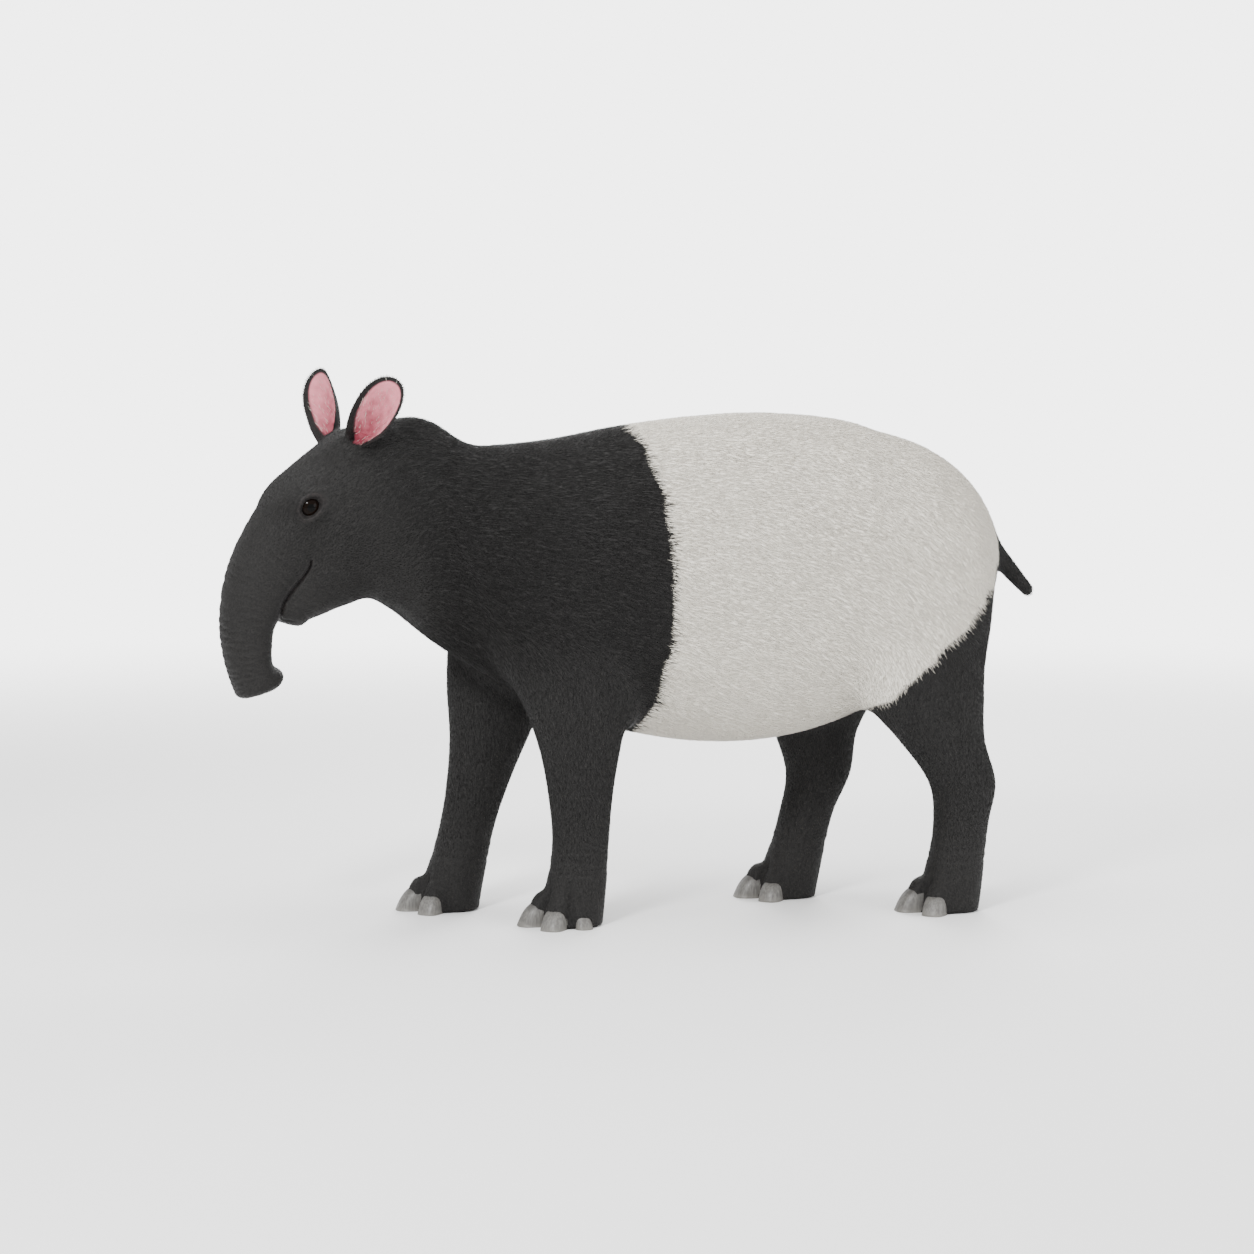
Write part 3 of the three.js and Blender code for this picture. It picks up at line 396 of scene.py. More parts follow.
def ear_frame(name):
    """Root of an ear, and the directions up it, out of its cup and across it."""
    root = from_head(EAR["u"], EAR["v"], SIDES[name] * EAR["w"])
    up = unit(EARS[name]["stands"])
    faces = np.array(EARS[name]["faces"])
    front = unit(faces - up * (faces @ up))
    return root, up, front, np.cross(up, front)


EAR_FRAMES = {name: ear_frame(name) for name in SIDES}
MOUND = {"sunk": 34, "wider": 16}
mounds = [
    round_cone(root - MOUND["sunk"] * up, root, EAR["mound"] + MOUND["wider"], EAR["mound"])
    for root, up, _, _ in EAR_FRAMES.values()
]
EAR_CANAL = {"up": 24, "front": 5, "reaches": (18, 35, 16), "felt": 60}


# Eyes

def eye_frame(sign):
    """Centre of an eyeball, its outward axis and its opening, in the animal's frame."""
    w = 0.0

    def one(*p):
        return float(head_skin(*(np.array([c], float) for c in p))[0])

    while one(EYE["u"], EYE["v"], w) < 0:
        w += 0.5
    at = np.array([EYE["u"], EYE["v"], w])
    out = unit([one(*(at + step)) - one(*at) for step in np.eye(3)])
    centre = at - out * EYE["sunk"]
    ahead = np.array([1, -0.25, 0])
    ahead = unit(ahead - out * (ahead @ out))
    up = np.cross(out, ahead)
    up = up if up[1] > 0 else -up
    mirror = np.array([1, 1, sign])
    turned = [HEAD_TURN @ (v * mirror) for v in (out, ahead, up)]
    return from_head(*(centre * mirror)), *turned


EYES = {name: eye_frame(sign) for name, sign in SIDES.items()}
LID_REACH = 66  # no lid is felt further than this from the middle of its eye
LID_SKIN = 2.6  # how thick a lid lies over its eyeball


def eye_gauge(p, eye):
    """How far each point is from the eye's middle, and its angle off the axis as a share of the lids'."""
    centre, out, ahead, up = eye
    q = p - centre
    r = np.maximum(lengths(q), 1e-6)
    across, above = q @ ahead, q @ up
    tilt = np.arccos(np.clip(q @ out / r, -1, 1))
    spread = np.maximum(np.hypot(across, above), 1e-6)
    return r, tilt / lid_tilt(across / spread, above / spread)


def near_eye(p, eye):
    return lengths(p - eye[0]) < LID_REACH


def lid_tilt(across, above):
    """The angle off the eye's axis of the lids' edge, for a direction seen from in front."""
    edge = EYE["lid"] / EYE["radius"]
    wide = math.radians(EYE["wide"]) - edge
    high = math.radians(EYE["high"]) * (1 + 0.1 * above) - edge
    return 1 / np.hypot(across / wide, above / high)


def with_canals(d, p):
    """The head's surface with the hollow that each ear's cup runs down into."""
    for root, up, front, across in EAR_FRAMES.values():
        q = p - root - EAR_CANAL["up"] * up - EAR_CANAL["front"] * front
        near = lengths(q) < EAR_CANAL["felt"]
        if near.any():
            offsets = (q[near] @ across, q[near] @ up, q[near] @ front)
            d[near] = carve(d[near], rim(offsets, EAR_CANAL["reaches"], 2), FLOW["canal"])
    return d


def with_eyes(d, p):
    """The head's surface with lids over each eyeball and the opening between them."""
    for eye in EYES.values():
        near = near_eye(p, eye)
        if near.any():
            r, share = eye_gauge(p[near], eye)
            lids = blend(d[near], r - EYE["radius"] - LID_SKIN, FLOW["lid"])
            opening = np.maximum((share - 1) * EYE["radius"] * 0.7, EYE["radius"] - 2 - r)
            d[near] = carve(lids, opening, FLOW["lid_edge"])
    return d


def head_distance(x, y, z):
    d = head_skin(*in_head(x, y, z))
    for mound in mounds:
        d = blend(d, mound(x, y, z), FLOW["mound"])
    return d


tail = round_cone(TAIL["root"], TAIL["tip"], TAIL["root_radius"], TAIL["tip_radius"])
HEAD_ENDS = -300  # the head and what flows into it lie ahead of this x
EYES_FROM = -500  # the eyes, the ears' canals and the nostrils lie ahead of this x
WRINKLES_FROM = -520  # the trunk's wrinkles and the lips lie ahead of this x
MOUTH_FROM = -600  # the mouth and the moist end of the trunk lie ahead of this x
SNOUT_REACH = 90  # no nostril is felt further than this from the trunk's end
SOLE = 0.6  # how far the skin's flat soles lie above the floor


def body(x, y, z):
    """The whole outer surface, as in the solids."""
    d = blend(trunk(x, y, z), rump(x, y, z), FLOW["rump"])
    ahead = x < HEAD_ENDS
    if ahead.any():
        d[ahead] = blend(d[ahead], head_distance(x[ahead], y[ahead], z[ahead]), FLOW["head"])
    p = np.stack([x, y, z], -1)
    for leg in LEGS:
        near = in_room(leg, p)
        if near.any():
            d[near] = blend(d[near], leg_distance(leg, x[near], y[near], z[near]), FLOW["leg"])
    return blend(d, tail(x, y, z), FLOW["tail"])


def coat_depth(x, z):
    full = ramp(x, -640, -480) * ramp(z, 60, 330)
    return COAT_DEPTH["face"] + (COAT_DEPTH["body"] - COAT_DEPTH["face"]) * full


def with_nostrils(d, p):
    near = lengths(p - from_head(*SNOUT_END, 0)) < SNOUT_REACH
    if near.any():
        u, v, w = in_head(*p[near].T)
        ahead, above = u - SNOUT_END[0] - NOSTRIL["ahead"], v - SNOUT_END[1] + NOSTRIL["below"]
        hollow = rim((ahead, above, np.abs(w) - NOSTRIL["side"]), NOSTRIL["reaches"], 2)
        d[near] = carve(d[near], hollow, FLOW["nostril"])
    return d


def skin(p):
    """The skin's own surface, under the coat: lids, sockets, nostrils and flat soles."""
    x, y, z = p.T
    d = body(x, y, z) + coat_depth(x, z)
    if x.min() < EYES_FROM:
        d = with_nostrils(with_canals(with_eyes(d, p), p), p)
    return np.maximum(d, SOLE - z)


# Meshing

def in_chunks(distance, p, size=200_000):
    return np.concatenate([distance(p[i:i + size]) for i in range(0, len(p), size)])


def sample(distance, axes, block=4, slack=1.5):
    """The field at every crossing of the axes. Blocks far from the surface take their middle's value."""
    shape = [len(a) for a in axes]
    middles = [np.array([a[i:i + block].mean() for i in range(0, len(a), block)]) for a in axes]
    spans = [max(np.ptp(a[i:i + block + 1]) for i in range(0, len(a), block)) for a in axes]
    reach = slack * np.linalg.norm(spans) / 2 + 6
    grid = np.stack(np.meshgrid(*middles, indexing="ij"), -1)
    coarse = in_chunks(distance, grid.reshape(-1, 3)).reshape(grid.shape[:3])

    def at_crossings(values):
        for axis in range(3):
            values = np.repeat(values, block, axis=axis)
        return values[:shape[0], :shape[1], :shape[2]].copy()

    field = at_crossings(coarse)
    index = np.nonzero(at_crossings(np.abs(coarse) < reach))
    places = np.stack([a[i] for a, i in zip(axes, index)], -1)
    field[index] = in_chunks(distance, places)
    return field


def without_saddles(field):
    """Where the corners of a cell's face alternate in sign, the one nearest zero changes its sign."""
    for _ in range(8):
        changed = False
        for axis in range(3):
            first, second = [i for i in range(3) if i != axis]
            corners = []
            for i, j in ((0, 0), (1, 0), (1, 1), (0, 1)):
                part = [slice(None)] * 3
                part[first] = slice(i, field.shape[first] - 1 + i)
                part[second] = slice(j, field.shape[second] - 1 + j)
                corners.append(field[tuple(part)])
            a, b, c, d = (corner < 0 for corner in corners)
            where = np.argwhere((a == c) & (b == d) & (a != b))
            for at in where:
                values = [corner[tuple(at)] for corner in corners]
                least = int(np.argmin(np.abs(values)))
                corners[least][tuple(at)] = -1e-3 * np.sign(values[least])
                changed = True
        if not changed:
            break
    return field


def surface_net(field, axes):
    """Points and quads of the zero surface, with a point in each cell that it crosses."""
    inside = field < 0
    cells = np.array(field.shape) - 1
    rings, places = [], []
    for axis in range(3):
        lower = [slice(1, -1)] * 3
        lower[axis] = slice(0, -1)
        upper = list(lower)
        upper[axis] = slice(1, None)
        crossed = np.argwhere(inside[tuple(lower)] != inside[tuple(upper)])
        crossed += [0 if i == axis else 1 for i in range(3)]
        step = np.eye(3, dtype=int)[axis]
        a, b = field[tuple(crossed.T)], field[tuple((crossed + step).T)]
        place = np.stack([axes[i][crossed[:, i]] for i in range(3)], -1)
        width = axes[axis][crossed[:, axis] + 1] - axes[axis][crossed[:, axis]]
        place[:, axis] += a / (a - b) * width
        first, second = np.eye(3, dtype=int)[(axis + 1) % 3], np.eye(3, dtype=int)[(axis + 2) % 3]
        corners = [crossed, crossed - first, crossed - first - second, crossed - second]
        ring = np.stack([np.ravel_multi_index(tuple(c.T), cells) for c in corners], -1)
        outward = inside[tuple(crossed.T)]
        ring[~outward] = ring[~outward][:, ::-1]
        rings.append(ring)
        places.append(np.repeat(place, 4, axis=0))
    ids, quads = np.unique(np.concatenate(rings), return_inverse=True)
    quads = quads.reshape(-1, 4)
    flat = np.concatenate([q.ravel() for q in np.split(quads, np.cumsum([len(r) for r in rings])[:-1])])
    places = np.concatenate(places)
    counts = np.bincount(flat, minlength=len(ids))
    points = np.stack([np.bincount(flat, places[:, i], len(ids)) for i in range(3)], -1)
    return points / counts[:, None], quads


def draw_in(distance, p, turns=2, most=4.0, h=0.4):
    """Each point is moved along the field's slope onto the surface."""
    for _ in range(turns):
        d = in_chunks(distance, p)
        slope = np.stack([in_chunks(distance, p + h * step) - d for step in np.eye(3)], -1) / h
        steepness = np.maximum((slope ** 2).sum(1), 0.2)
        p = p - np.clip(d / steepness, -most, most)[:, None] * slope
    return p


def edges_of(quads):
    pairs = np.concatenate([quads[:, [i, (i + 1) % 4]] for i in range(4)])
    return np.unique(np.sort(pairs, axis=1), axis=0)


def neighbour_mean(points, edges):
    a, b = np.concatenate([edges, edges[:, ::-1]]).T
    count = np.bincount(a, minlength=len(points))
    sums = np.stack([np.bincount(a, points[b, i], len(points)) for i in range(3)], -1)
    return sums / np.maximum(count, 1)[:, None]


def axis_steps(stations):
    """Places along an axis whose spacing changes smoothly. Stations: a place and the spacing there."""
    at, spacing = np.array(stations, float).T
    places = [at[0]]
    while places[-1] < at[-1]:
        places.append(places[-1] + np.interp(places[-1], at, spacing))
    return np.array(places)


def make_skin_mesh():
    axes = [
        axis_steps([(-900, 4.2), (-560, 4.4), (-420, 9.5), (860, 10)]),
        axis_steps([(-330, 8), (-140, 5.2), (140, 5.2), (330, 8)]),
        axis_steps([(-30, 6), (90, 6), (300, 8), (440, 5.5), (960, 5.5), (1060, 8)]),
    ]
    field = without_saddles(sample(skin, axes))
    points, quads = surface_net(field, axes)
    edges = edges_of(quads)
    points = draw_in(skin, points)
    for _ in range(3):
        points = draw_in(skin, points + 0.5 * (neighbour_mean(points, edges) - points), turns=1)
    return points, quads


# Shape that the skin adds: wrinkles, folds and the lips

def smooth_line(spots, steps):
    """A line in the head's own plane through the given places, in short straight lengths."""
    curve = profile([(i, *spot[:2]) for i, spot in enumerate(spots)])
    return curve(np.linspace(0, len(spots) - 1, steps + 1)).T


FACE_LENGTHS = 80
FACE_LINE = smooth_line(FACE_ROWS, FACE_LENGTHS)
MOUTH_LINE = smooth_line(MOUTH_POINTS, 32)


def face_station(u, v):
    """How far along the face's middle line a point lies, in rows of its table."""
    at, share = nearest_on(FACE_LINE, u, v)
    return (at + share) * (len(FACE_ROWS) - 1) / FACE_LENGTHS


def mouth_distance(u, v):
    return line_distance(np.stack([u, v], -1), MOUTH_LINE)


def ripple(p, scale, seed=0):
    """Smooth noise between about -1 and 1, from a few waves."""
    rng = np.random.default_rng(SEED + seed)
    total = np.zeros(len(p))
    for _ in range(6):
        way = rng.normal(size=3)
        wave = way / np.linalg.norm(way) * 2 * np.pi / (scale * rng.uniform(0.7, 1.5))
        total += np.sin(p @ wave + rng.uniform(0, 2 * np.pi))
    return total / 3


# Body folds: the points of each line on the left side, its depth and its width. The right has them too.
FOLDS = [
    ([(-452, -150, 860), (-436, -166, 780), (-440, -160, 700), (-462, -128, 620)], 4.5, 13),
    ([(-408, -156, 880), (-392, -176, 790), (-396, -172, 690), (-420, -138, 600)], 3.0, 12),
    ([(-136, -200, 560), (-128, -190, 490), (-138, -168, 440)], 4.0, 14),
    ([(-300, -190, 560), (-290, -186, 500), (-270, -176, 460)], 3.0, 13),
]
# Creases round each ankle and wrist: height above the floor, depth
CREASES = [(106, 1.2), (124, 0.9), (146, 0.6)]
CREASE_WIDTH = 5.5
# Lines round the lids: depth, place as a share of the lids' own angle, width, and heights to fade over
LID_LINES = [(1.5, 1.62, 0.12, (-4, 8)), (0.9, 1.75, 0.16, (2, -8))]
# Clefts between the toes, the trunk's wrinkles and the lips with the slit between them
CLEFT = {"depth": 7.0, "width": 6, "top": (100, 55), "from": (30, 50), "to": 110}
WRINKLES = {"depth": 1.8, "count": 3.6}  # round the trunk, the count for each row of the face's table
LIPS = {"out": 1.0, "at": 7, "width": 4.5, "slit": 6.0, "slit_widths": (1.7, 2.8), "corner": (230, 285)}


def bell(away, width):
    """One where a distance is nothing, falling smoothly to nothing past a width."""
    return np.exp(-((away / width) ** 2))


def cleft(p, leg, mid):
    """One in the groove between two toes: mid is the turn from straight ahead, halfway between them."""
    dx, dy = p[:, 0] - leg["foot"][0] + FOOT_BACK, p[:, 1] - leg["foot"][1]
    turn = np.arctan2(leg["sign"] * dy, -dx)
    reach = np.hypot(dx, dy)
    across = (turn - math.radians(mid)) * reach
    share = bell(across, CLEFT["width"]) * ramp(p[:, 2], *CLEFT["top"])
    return share * ramp(reach, *CLEFT["from"]) * (reach < CLEFT["to"])


def head_relief(p, normals):
    """The trunk's wrinkles and the lips round the mouth's slit."""
    u, v, _ = in_head(*p.T)
    station = face_station(u, v)
    waves = WRINKLES["count"] * station + 0.5 * ripple(p, 85, seed=3)
    ring = (0.5 + 0.5 * np.cos(2 * np.pi * waves)) ** 3
    top = ramp(normals @ (HEAD_TURN @ np.array([0.8, 0.6, 0])), -0.35, 0.35)
    trunk_share = ramp(station, 2.6, 4.2) * ramp(station, 8.0, 7.2)
    uneven = (0.3 + 0.7 * top) * (0.75 + 0.25 * ripple(p, 50, seed=4))
    mouth = mouth_distance(u, v)
    corner, front = LIPS["slit_widths"]
    slit = bell(mouth, corner + (front - corner) * ramp(u, *LIPS["corner"]))
    lips = LIPS["out"] * bell(mouth - LIPS["at"], LIPS["width"]) - LIPS["slit"] * slit
    return lips - WRINKLES["depth"] * ring * trunk_share * uneven


def lid_relief(p, eye):
    """The groove above an upper lid and the bag under a lower one."""
    _, share = eye_gauge(p, eye)
    above = (p - eye[0]) @ eye[3]
    lines = (depth * (bell(share - at, wide) * ramp(above, *over)) for depth, at, wide, over in LID_LINES)
    return -sum(lines)


def relief(p, normals):
    """How far the skin stands out, along its normal, from the smooth form."""
    out = 0.9 * ripple(p, 210, seed=1) * ramp(p[:, 2], 120, 300)
    mirrored = p * [1, -1, 1]
    uneven = 0.8 + 0.2 * ripple(p, 60, seed=9)
    for line, depth, width in FOLDS:
        for points in (p, mirrored):
            out -= depth * bell(line_distance(points, np.array(line, float)), width) * uneven
    for height, depth in CREASES:
        wobble = 5 * ripple(p, 90, seed=height)
        out -= depth * bell(p[:, 2] - height - wobble, CREASE_WIDTH)
    head = p[:, 0] < WRINKLES_FROM
    out[head] += head_relief(p[head], normals[head])
    for leg in LEGS:
        for mid in leg["clefts"]:
            out -= CLEFT["depth"] * cleft(p, leg, mid)
    for eye in EYES.values():
        near = near_eye(p, eye)
        out[near] += lid_relief(p[near], eye)
    return out * ramp(p[:, 2], 1, 8)


# Fine zones, in the order that they are split: how far each reaches round a part of the head
ZONES = [{"eye": 50, "mouth": 20, "nostril": 46, "ear": 52}, {"eye": 36, "mouth": 10, "nostril": 32}]
ZONE_SPOTS = {
    "eye": [eye[0] for eye in EYES.values()],
    "nostril": [from_head(SNOUT_END[0] + NOSTRIL["ahead"], SNOUT_END[1] - NOSTRIL["below"], 0)],
    "ear": [ear[0] for ear in EAR_FRAMES.values()],
}


def in_zone(p, reach):
    """Which points lie in a fine zone."""
    u, v, _ = in_head(*p.T)
    inside = (mouth_distance(u, v) < reach["mouth"]) & (p[:, 0] < MOUTH_FROM)
    for name, spots in ZONE_SPOTS.items():
        for spot in spots:
            inside |= lengths(p - spot) < reach.get(name, 0)
    return inside


@contextmanager
def editing(mesh):
    """A mesh opened for editing and closed again."""
    bm = bmesh.new()
    bm.from_mesh(mesh)
    yield bm
    bm.to_mesh(mesh)
    bm.free()


def read(items, key, width, kind=np.float32):
    """What each of a mesh's items holds under a key, as one row each."""
    values = np.empty(len(items) * width, kind)
    items.foreach_get(key, values)
    return values.reshape(-1, width)


def in_frame(points):
    """Points of the animal's own frame as the scene's coordinates, one number after the other."""
    return ((points + [SHIFT, 0, 0]) * MM).astype(np.float32).ravel()


def new_mesh(name, points, faces):
    """A mesh from points in the animal's own frame."""
    mesh = bpy.data.meshes.new(name)
    mesh.from_pydata(in_frame(points).reshape(-1, 3).tolist(), [], [list(map(int, f)) for f in faces])
    mesh.shade_smooth()
    return mesh


def own_frame(mesh):
    return read(mesh.vertices, "co", 3).astype(float) / MM - [SHIFT, 0, 0]


def set_points(mesh, points):
    mesh.vertices.foreach_set("co", in_frame(points))
    mesh.update()


def normals_of(mesh):
    return read(mesh.vertex_normals, "vector", 3).astype(float)


def edge_array(mesh):
    return read(mesh.edges, "vertices", 2, np.int32)


def refine(mesh, reach):
    """Faces in the zone are split in four and their new points drawn onto the skin."""
    with editing(mesh) as bm:
        centres = np.array([f.calc_center_median() for f in bm.faces]) / MM - [SHIFT, 0, 0]
        edges = {e for f, inside in zip(bm.faces, in_zone(centres, reach)) if inside for e in f.edges}
        bmesh.ops.subdivide_edges(bm, edges=list(edges), cuts=1, use_grid_fill=True)
        bmesh.ops.triangulate(bm, faces=[f for f in bm.faces if len(f.verts) > 4])
    points = own_frame(mesh)
    near = in_zone(points, reach)
    edges = edge_array(mesh)
    for share in (0.0, 0.5, 0.4):
        moved = points + share * (neighbour_mean(points, edges) - points)
        points[near] = draw_in(skin, moved[near], turns=1, most=2)
    set_points(mesh, points)


# Ears

def ring_faces(rings, around):
    """Quads between the rings of a tube, whose points are numbered round one ring after the other."""
    faces = []
    for i in range(rings - 1):
        for j in range(around):
            k = (j + 1) % around
            faces.append((i * around + j, i * around + k, (i + 1) * around + k, (i + 1) * around + j))
    return faces


EAR_FLARE = profile([(0, 0.4), (0.12, 0.6), (0.3, 0.88), (0.55, 1)])
EAR_WIDEST = 0.55
EAR_WALL = {"thinner_edge": 0.22, "thinner_tip": 0.3, "veins": 1.1, "vein_turns": 8}


def ear_closing(t):
    """How much of its width an ear has left where it closes towards its tip."""
    past = np.clip((t - EAR_WIDEST) / (1 - EAR_WIDEST), 0, 1)
    return np.clip(1 - past ** 2.3, 0, 1) ** (1 / 2.1)


def ear_half(t):
    """Half the width of an ear, at a share of the way up it: it flares from its root and ends round."""
    return EAR["width"] / 2 * EAR_FLARE(np.clip(t, 0, EAR_WIDEST))[0] * ear_closing(t)


def ear_middle(t, v):
    """How far forward the middle of the cup's wall lies."""
    deep = EAR_CUP["deep"] * (1 - EAR_CUP["flatter"] * t)
    bow = EAR_CUP["bow"] * np.sin(np.pi * np.clip(t, 0, 1) / EAR_CUP["bow_ends"])
    return deep * ((v * ear_closing(t)) ** 2 - 0.5) - bow


def ear_mesh(name, rows=36, tip_rows=26, columns=42):
    root, up, front, across = EAR_FRAMES[name]
    rising = np.linspace(-0.12, EAR_WIDEST, rows)[:-1]
    ending = EAR_WIDEST + (1 - EAR_WIDEST) * np.sin(np.linspace(0, 0.485 * np.pi, tip_rows))
    t = np.concatenate([rising, ending])
    v = np.sin(np.linspace(-np.pi / 2, np.pi / 2, columns + 1))
    ring_v = np.concatenate([v, v[::-1]])
    ring_face = np.concatenate([np.ones(len(v)), -np.ones(len(v))])
    t, ring_v = t[:, None], ring_v[None]
    round_edge = np.sqrt(1 - 0.97 * np.abs(ring_v) ** 9) * np.sqrt(1 - 0.8 * np.clip(t, 0, 1) ** 24)
    thinner = (1 - EAR_WALL["thinner_edge"] * ring_v ** 2) * (1 - EAR_WALL["thinner_tip"] * t)
    wall = EAR["wall"] * thinner * round_edge
    low = np.clip(t, 0, 1)
    forward = ear_middle(low, ring_v) + ring_face * wall / 2
    veins = np.cos(ring_v * EAR_WALL["vein_turns"]) * (ring_face > 0) * (1 - low) * (1 - ring_v ** 4)
    forward = forward + EAR_WALL["veins"] * veins
    points = (
        root + (EAR["length"] * t)[..., None] * up
        + (ear_half(t) * ring_v)[..., None] * across + forward[..., None] * front
    )
    around = points.shape[1]
    points = points.reshape(-1, 3)
    ends = [tuple(range(around))[::-1], tuple(range(len(points) - around, len(points)))]
    mesh = new_mesh(f"ear_{name}_form", points, ring_faces(len(t), around) + ends)
    with editing(mesh) as bm:
        bmesh.ops.remove_doubles(bm, verts=bm.verts, dist=0.02 * MM)
        bmesh.ops.recalc_face_normals(bm, faces=bm.faces)
    return mesh


def in_ear(p, name):
    """Share of the way up an ear, share across it, and how far ahead of its wall's middle."""
    root, up, front, across = EAR_FRAMES[name]
    q = p - root
    t = q @ up / EAR["length"]
    v = q @ across / np.maximum(ear_half(np.clip(t, 0, 1.03)), 1)
    return t, v, q @ front - ear_middle(np.clip(t, 0, 1), np.clip(v, -1, 1))


def scene_object(name, data):
    ob = bpy.data.objects.new(name, data)
    bpy.context.scene.collection.objects.link(ob)
    return ob


def add_piece(mesh, material, slot, *nodes):
    """A mesh as a piece of the model, in place of the given nodes."""
    mesh.materials.append(material)
    piece = scene_object(mesh.name, mesh)
    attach(piece, "root")
    if nodes:
        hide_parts(*nodes)


def join_ears(ob):
    """The ears are joined to the skin, and the edge where they meet it is smoothed."""
    for name in SIDES:
        ear = scene_object(f"ear_{name}_form", ear_mesh(name))
        join = ob.modifiers.new("ear", "BOOLEAN")
        join.operation, join.solver, join.object = "UNION", "MANIFOLD", ear
        bpy.context.view_layer.update()
        mesh = bpy.data.meshes.new_from_object(ob.evaluated_get(bpy.context.evaluated_depsgraph_get()))
        ob.modifiers.clear()
        ob.data = mesh
        bpy.data.objects.remove(ear)
    points = own_frame(ob.data)
    edges = edge_array(ob.data)
    weight = np.zeros(len(points))
    at_skin = ramp(np.abs(body(*points.T)), 12, 3)
    for name in SIDES:
        t, v, _ = in_ear(points, name)
        weight = np.maximum(weight, at_skin * ((np.abs(v) < 1.3) & (t > -0.1) & (t < 0.4)))
    for _ in range(10):
        points += (0.6 * weight)[:, None] * (neighbour_mean(points, edges) - points)
    set_points(ob.data, points)


# Markings

TAIL_DARK_FROM = 0.3  # share of the way down the tail where its dark hair begins
SADDLE_CLEAR = {"tail": 14, "foreleg": 20}  # the white ends this far from the dark tail and the forelegs
dark_tail = round_cone(
    np.add(TAIL["root"], TAIL_DARK_FROM * np.subtract(TAIL["tip"], TAIL["root"])), TAIL["tip"],
    TAIL["root_radius"], TAIL["tip_radius"])


def saddle(p):
    """Distance into the white saddle from its nearest edge."""
    x, y, z = p.T
    r = SADDLE_FRONT["radius"]
    fore = x - (SADDLE_FRONT["x"] - r + np.sqrt(r * r - (z - SADDLE_FRONT["z"]) ** 2))
    right = ramp(y, -50, 50)
    low_x, low_z = (a + right * (b - a) for a, b in zip(FLANK_ENDS["left"], FLANK_ENDS["right"]))
    rise_x, rise_z = FLANK_TOP[0] - low_x, FLANK_TOP[1] - low_z
    length = np.hypot(rise_x, rise_z)
    rear = ((z - low_z) * rise_x - (x - low_x) * rise_z) / length
    inside = np.minimum(np.minimum(fore, rear), dark_tail(x, y, z) - SADDLE_CLEAR["tail"])
    for leg in LEGS:
        if leg["name"].startswith("fore"):
            inside = np.minimum(inside, leg["limb"](x, y, z) - SADDLE_CLEAR["foreleg"])
    return inside + 5 * ripple(p, 70, seed=7)


# The skin as a piece

FLESH = [
    "proboscis", "head", "ear_left", "ear_right", "neck", "shoulders", "barrel", "tail",
    *(f"{part}_{leg['name']}" for part in ("leg", "foot") for leg in LEGS),
]
PINK_FROM = (6.5, 10.5)  # how far inside an ear's outline its black rim ends


def ear_outline():
    """Half the outline of an ear laid flat, from its root to its tip."""
    t = np.sin(np.linspace(0, np.pi / 2, 90))
    return np.stack([ear_half(t), t * EAR["length"]], -1)


def pink_share(p):
    """One on the bare inside of an ear's cup."""
    share = np.zeros(len(p))
    for name in SIDES:
        t, v, off = in_ear(p, name)
        inside = (t > -0.2) & (t < 1.02) & (np.abs(v) < 1.05) & (off > -12) & (off < 26)
        half = ear_half(np.clip(t, 0, 1))
        flat = np.stack([np.abs(v) * half, t * EAR["length"]], -1)
        cup = ramp(off, -1, 1) * ramp(t, -0.1, 0.04) * ramp((1 - np.abs(v)) * half, *PINK_FROM)
        cup[inside] *= ramp(line_distance(flat[inside], ear_outline()), *PINK_FROM)
        share = np.maximum(share, np.where(inside, cup, 0))
    return share


def cup_depth(p):
    """How deep in an ear's cup: one down in the canal, falling towards the rim and the tip. The ears' inside
    is painted darker with it, as shade in the hollow.
    """
    depth = np.zeros(len(p))
    for name in SIDES:
        t, v, _ = in_ear(p, name)
        near = ear_share(p, name) + (np.abs(t) < 0.2)
        depth = np.maximum(depth, np.where(near > 0, 1.1 - 0.7 * np.clip(t, 0, 1) - 0.35 * v * v, 0))
    return np.clip(depth, 0.1, 1)


def bare_share(p):
    """One on the moist end of the snout and along the lips."""
    u, v, w = in_head(*p.T)
    end = np.stack([u - SNOUT_END[0] - 16, v - SNOUT_END[1] + 20, w * 0.8], -1)
    moist = ramp(lengths(end) + 2.5 * ripple(p, 24, seed=5), 30, 22)
    lips = ramp(mouth_distance(u, v), 6, 3.5)
    return np.where(p[:, 0] < MOUTH_FROM, np.maximum(moist, lips), 0)


def lid_share(p):
    """One on the bare edge of each lid and in its socket."""
    share = np.zeros(len(p))
    for eye in EYES.values():
        near = near_eye(p, eye)
        share[near] = np.maximum(share[near], ramp(eye_gauge(p[near], eye)[1], 1.3, 1.12))
    return share


def add_values(mesh, values):
    """A number for each point of the mesh, under each of the names."""
    for name, numbers in values.items():
        attribute = mesh.attributes.new(name, "FLOAT", "POINT")
        attribute.data.foreach_set("value", numbers.astype(np.float32))


def make_skin():
    mesh = new_mesh("skin", *make_skin_mesh())
    for reach in ZONES:
        refine(mesh, reach)
    points, normals = own_frame(mesh), normals_of(mesh)
    set_points(mesh, points + relief(points, normals)[:, None] * normals)
    ob = scene_object("skin", mesh)
    join_ears(ob)
    mesh = ob.data
    mesh.name = "skin"
    mesh.shade_smooth()
    points = own_frame(mesh)
    lid = lid_share(points)
    # The cup's depth goes to the skin's colour, where it paints shade into the ears' hollows.
    add_values(mesh, {
        "white": saddle(points), "pink": pink_share(points), "depth": cup_depth(points),
        "bare": np.maximum(bare_share(points), lid), "lid": lid, "down": leg_share(points),
    })
    unwrap(ob)
    return ob


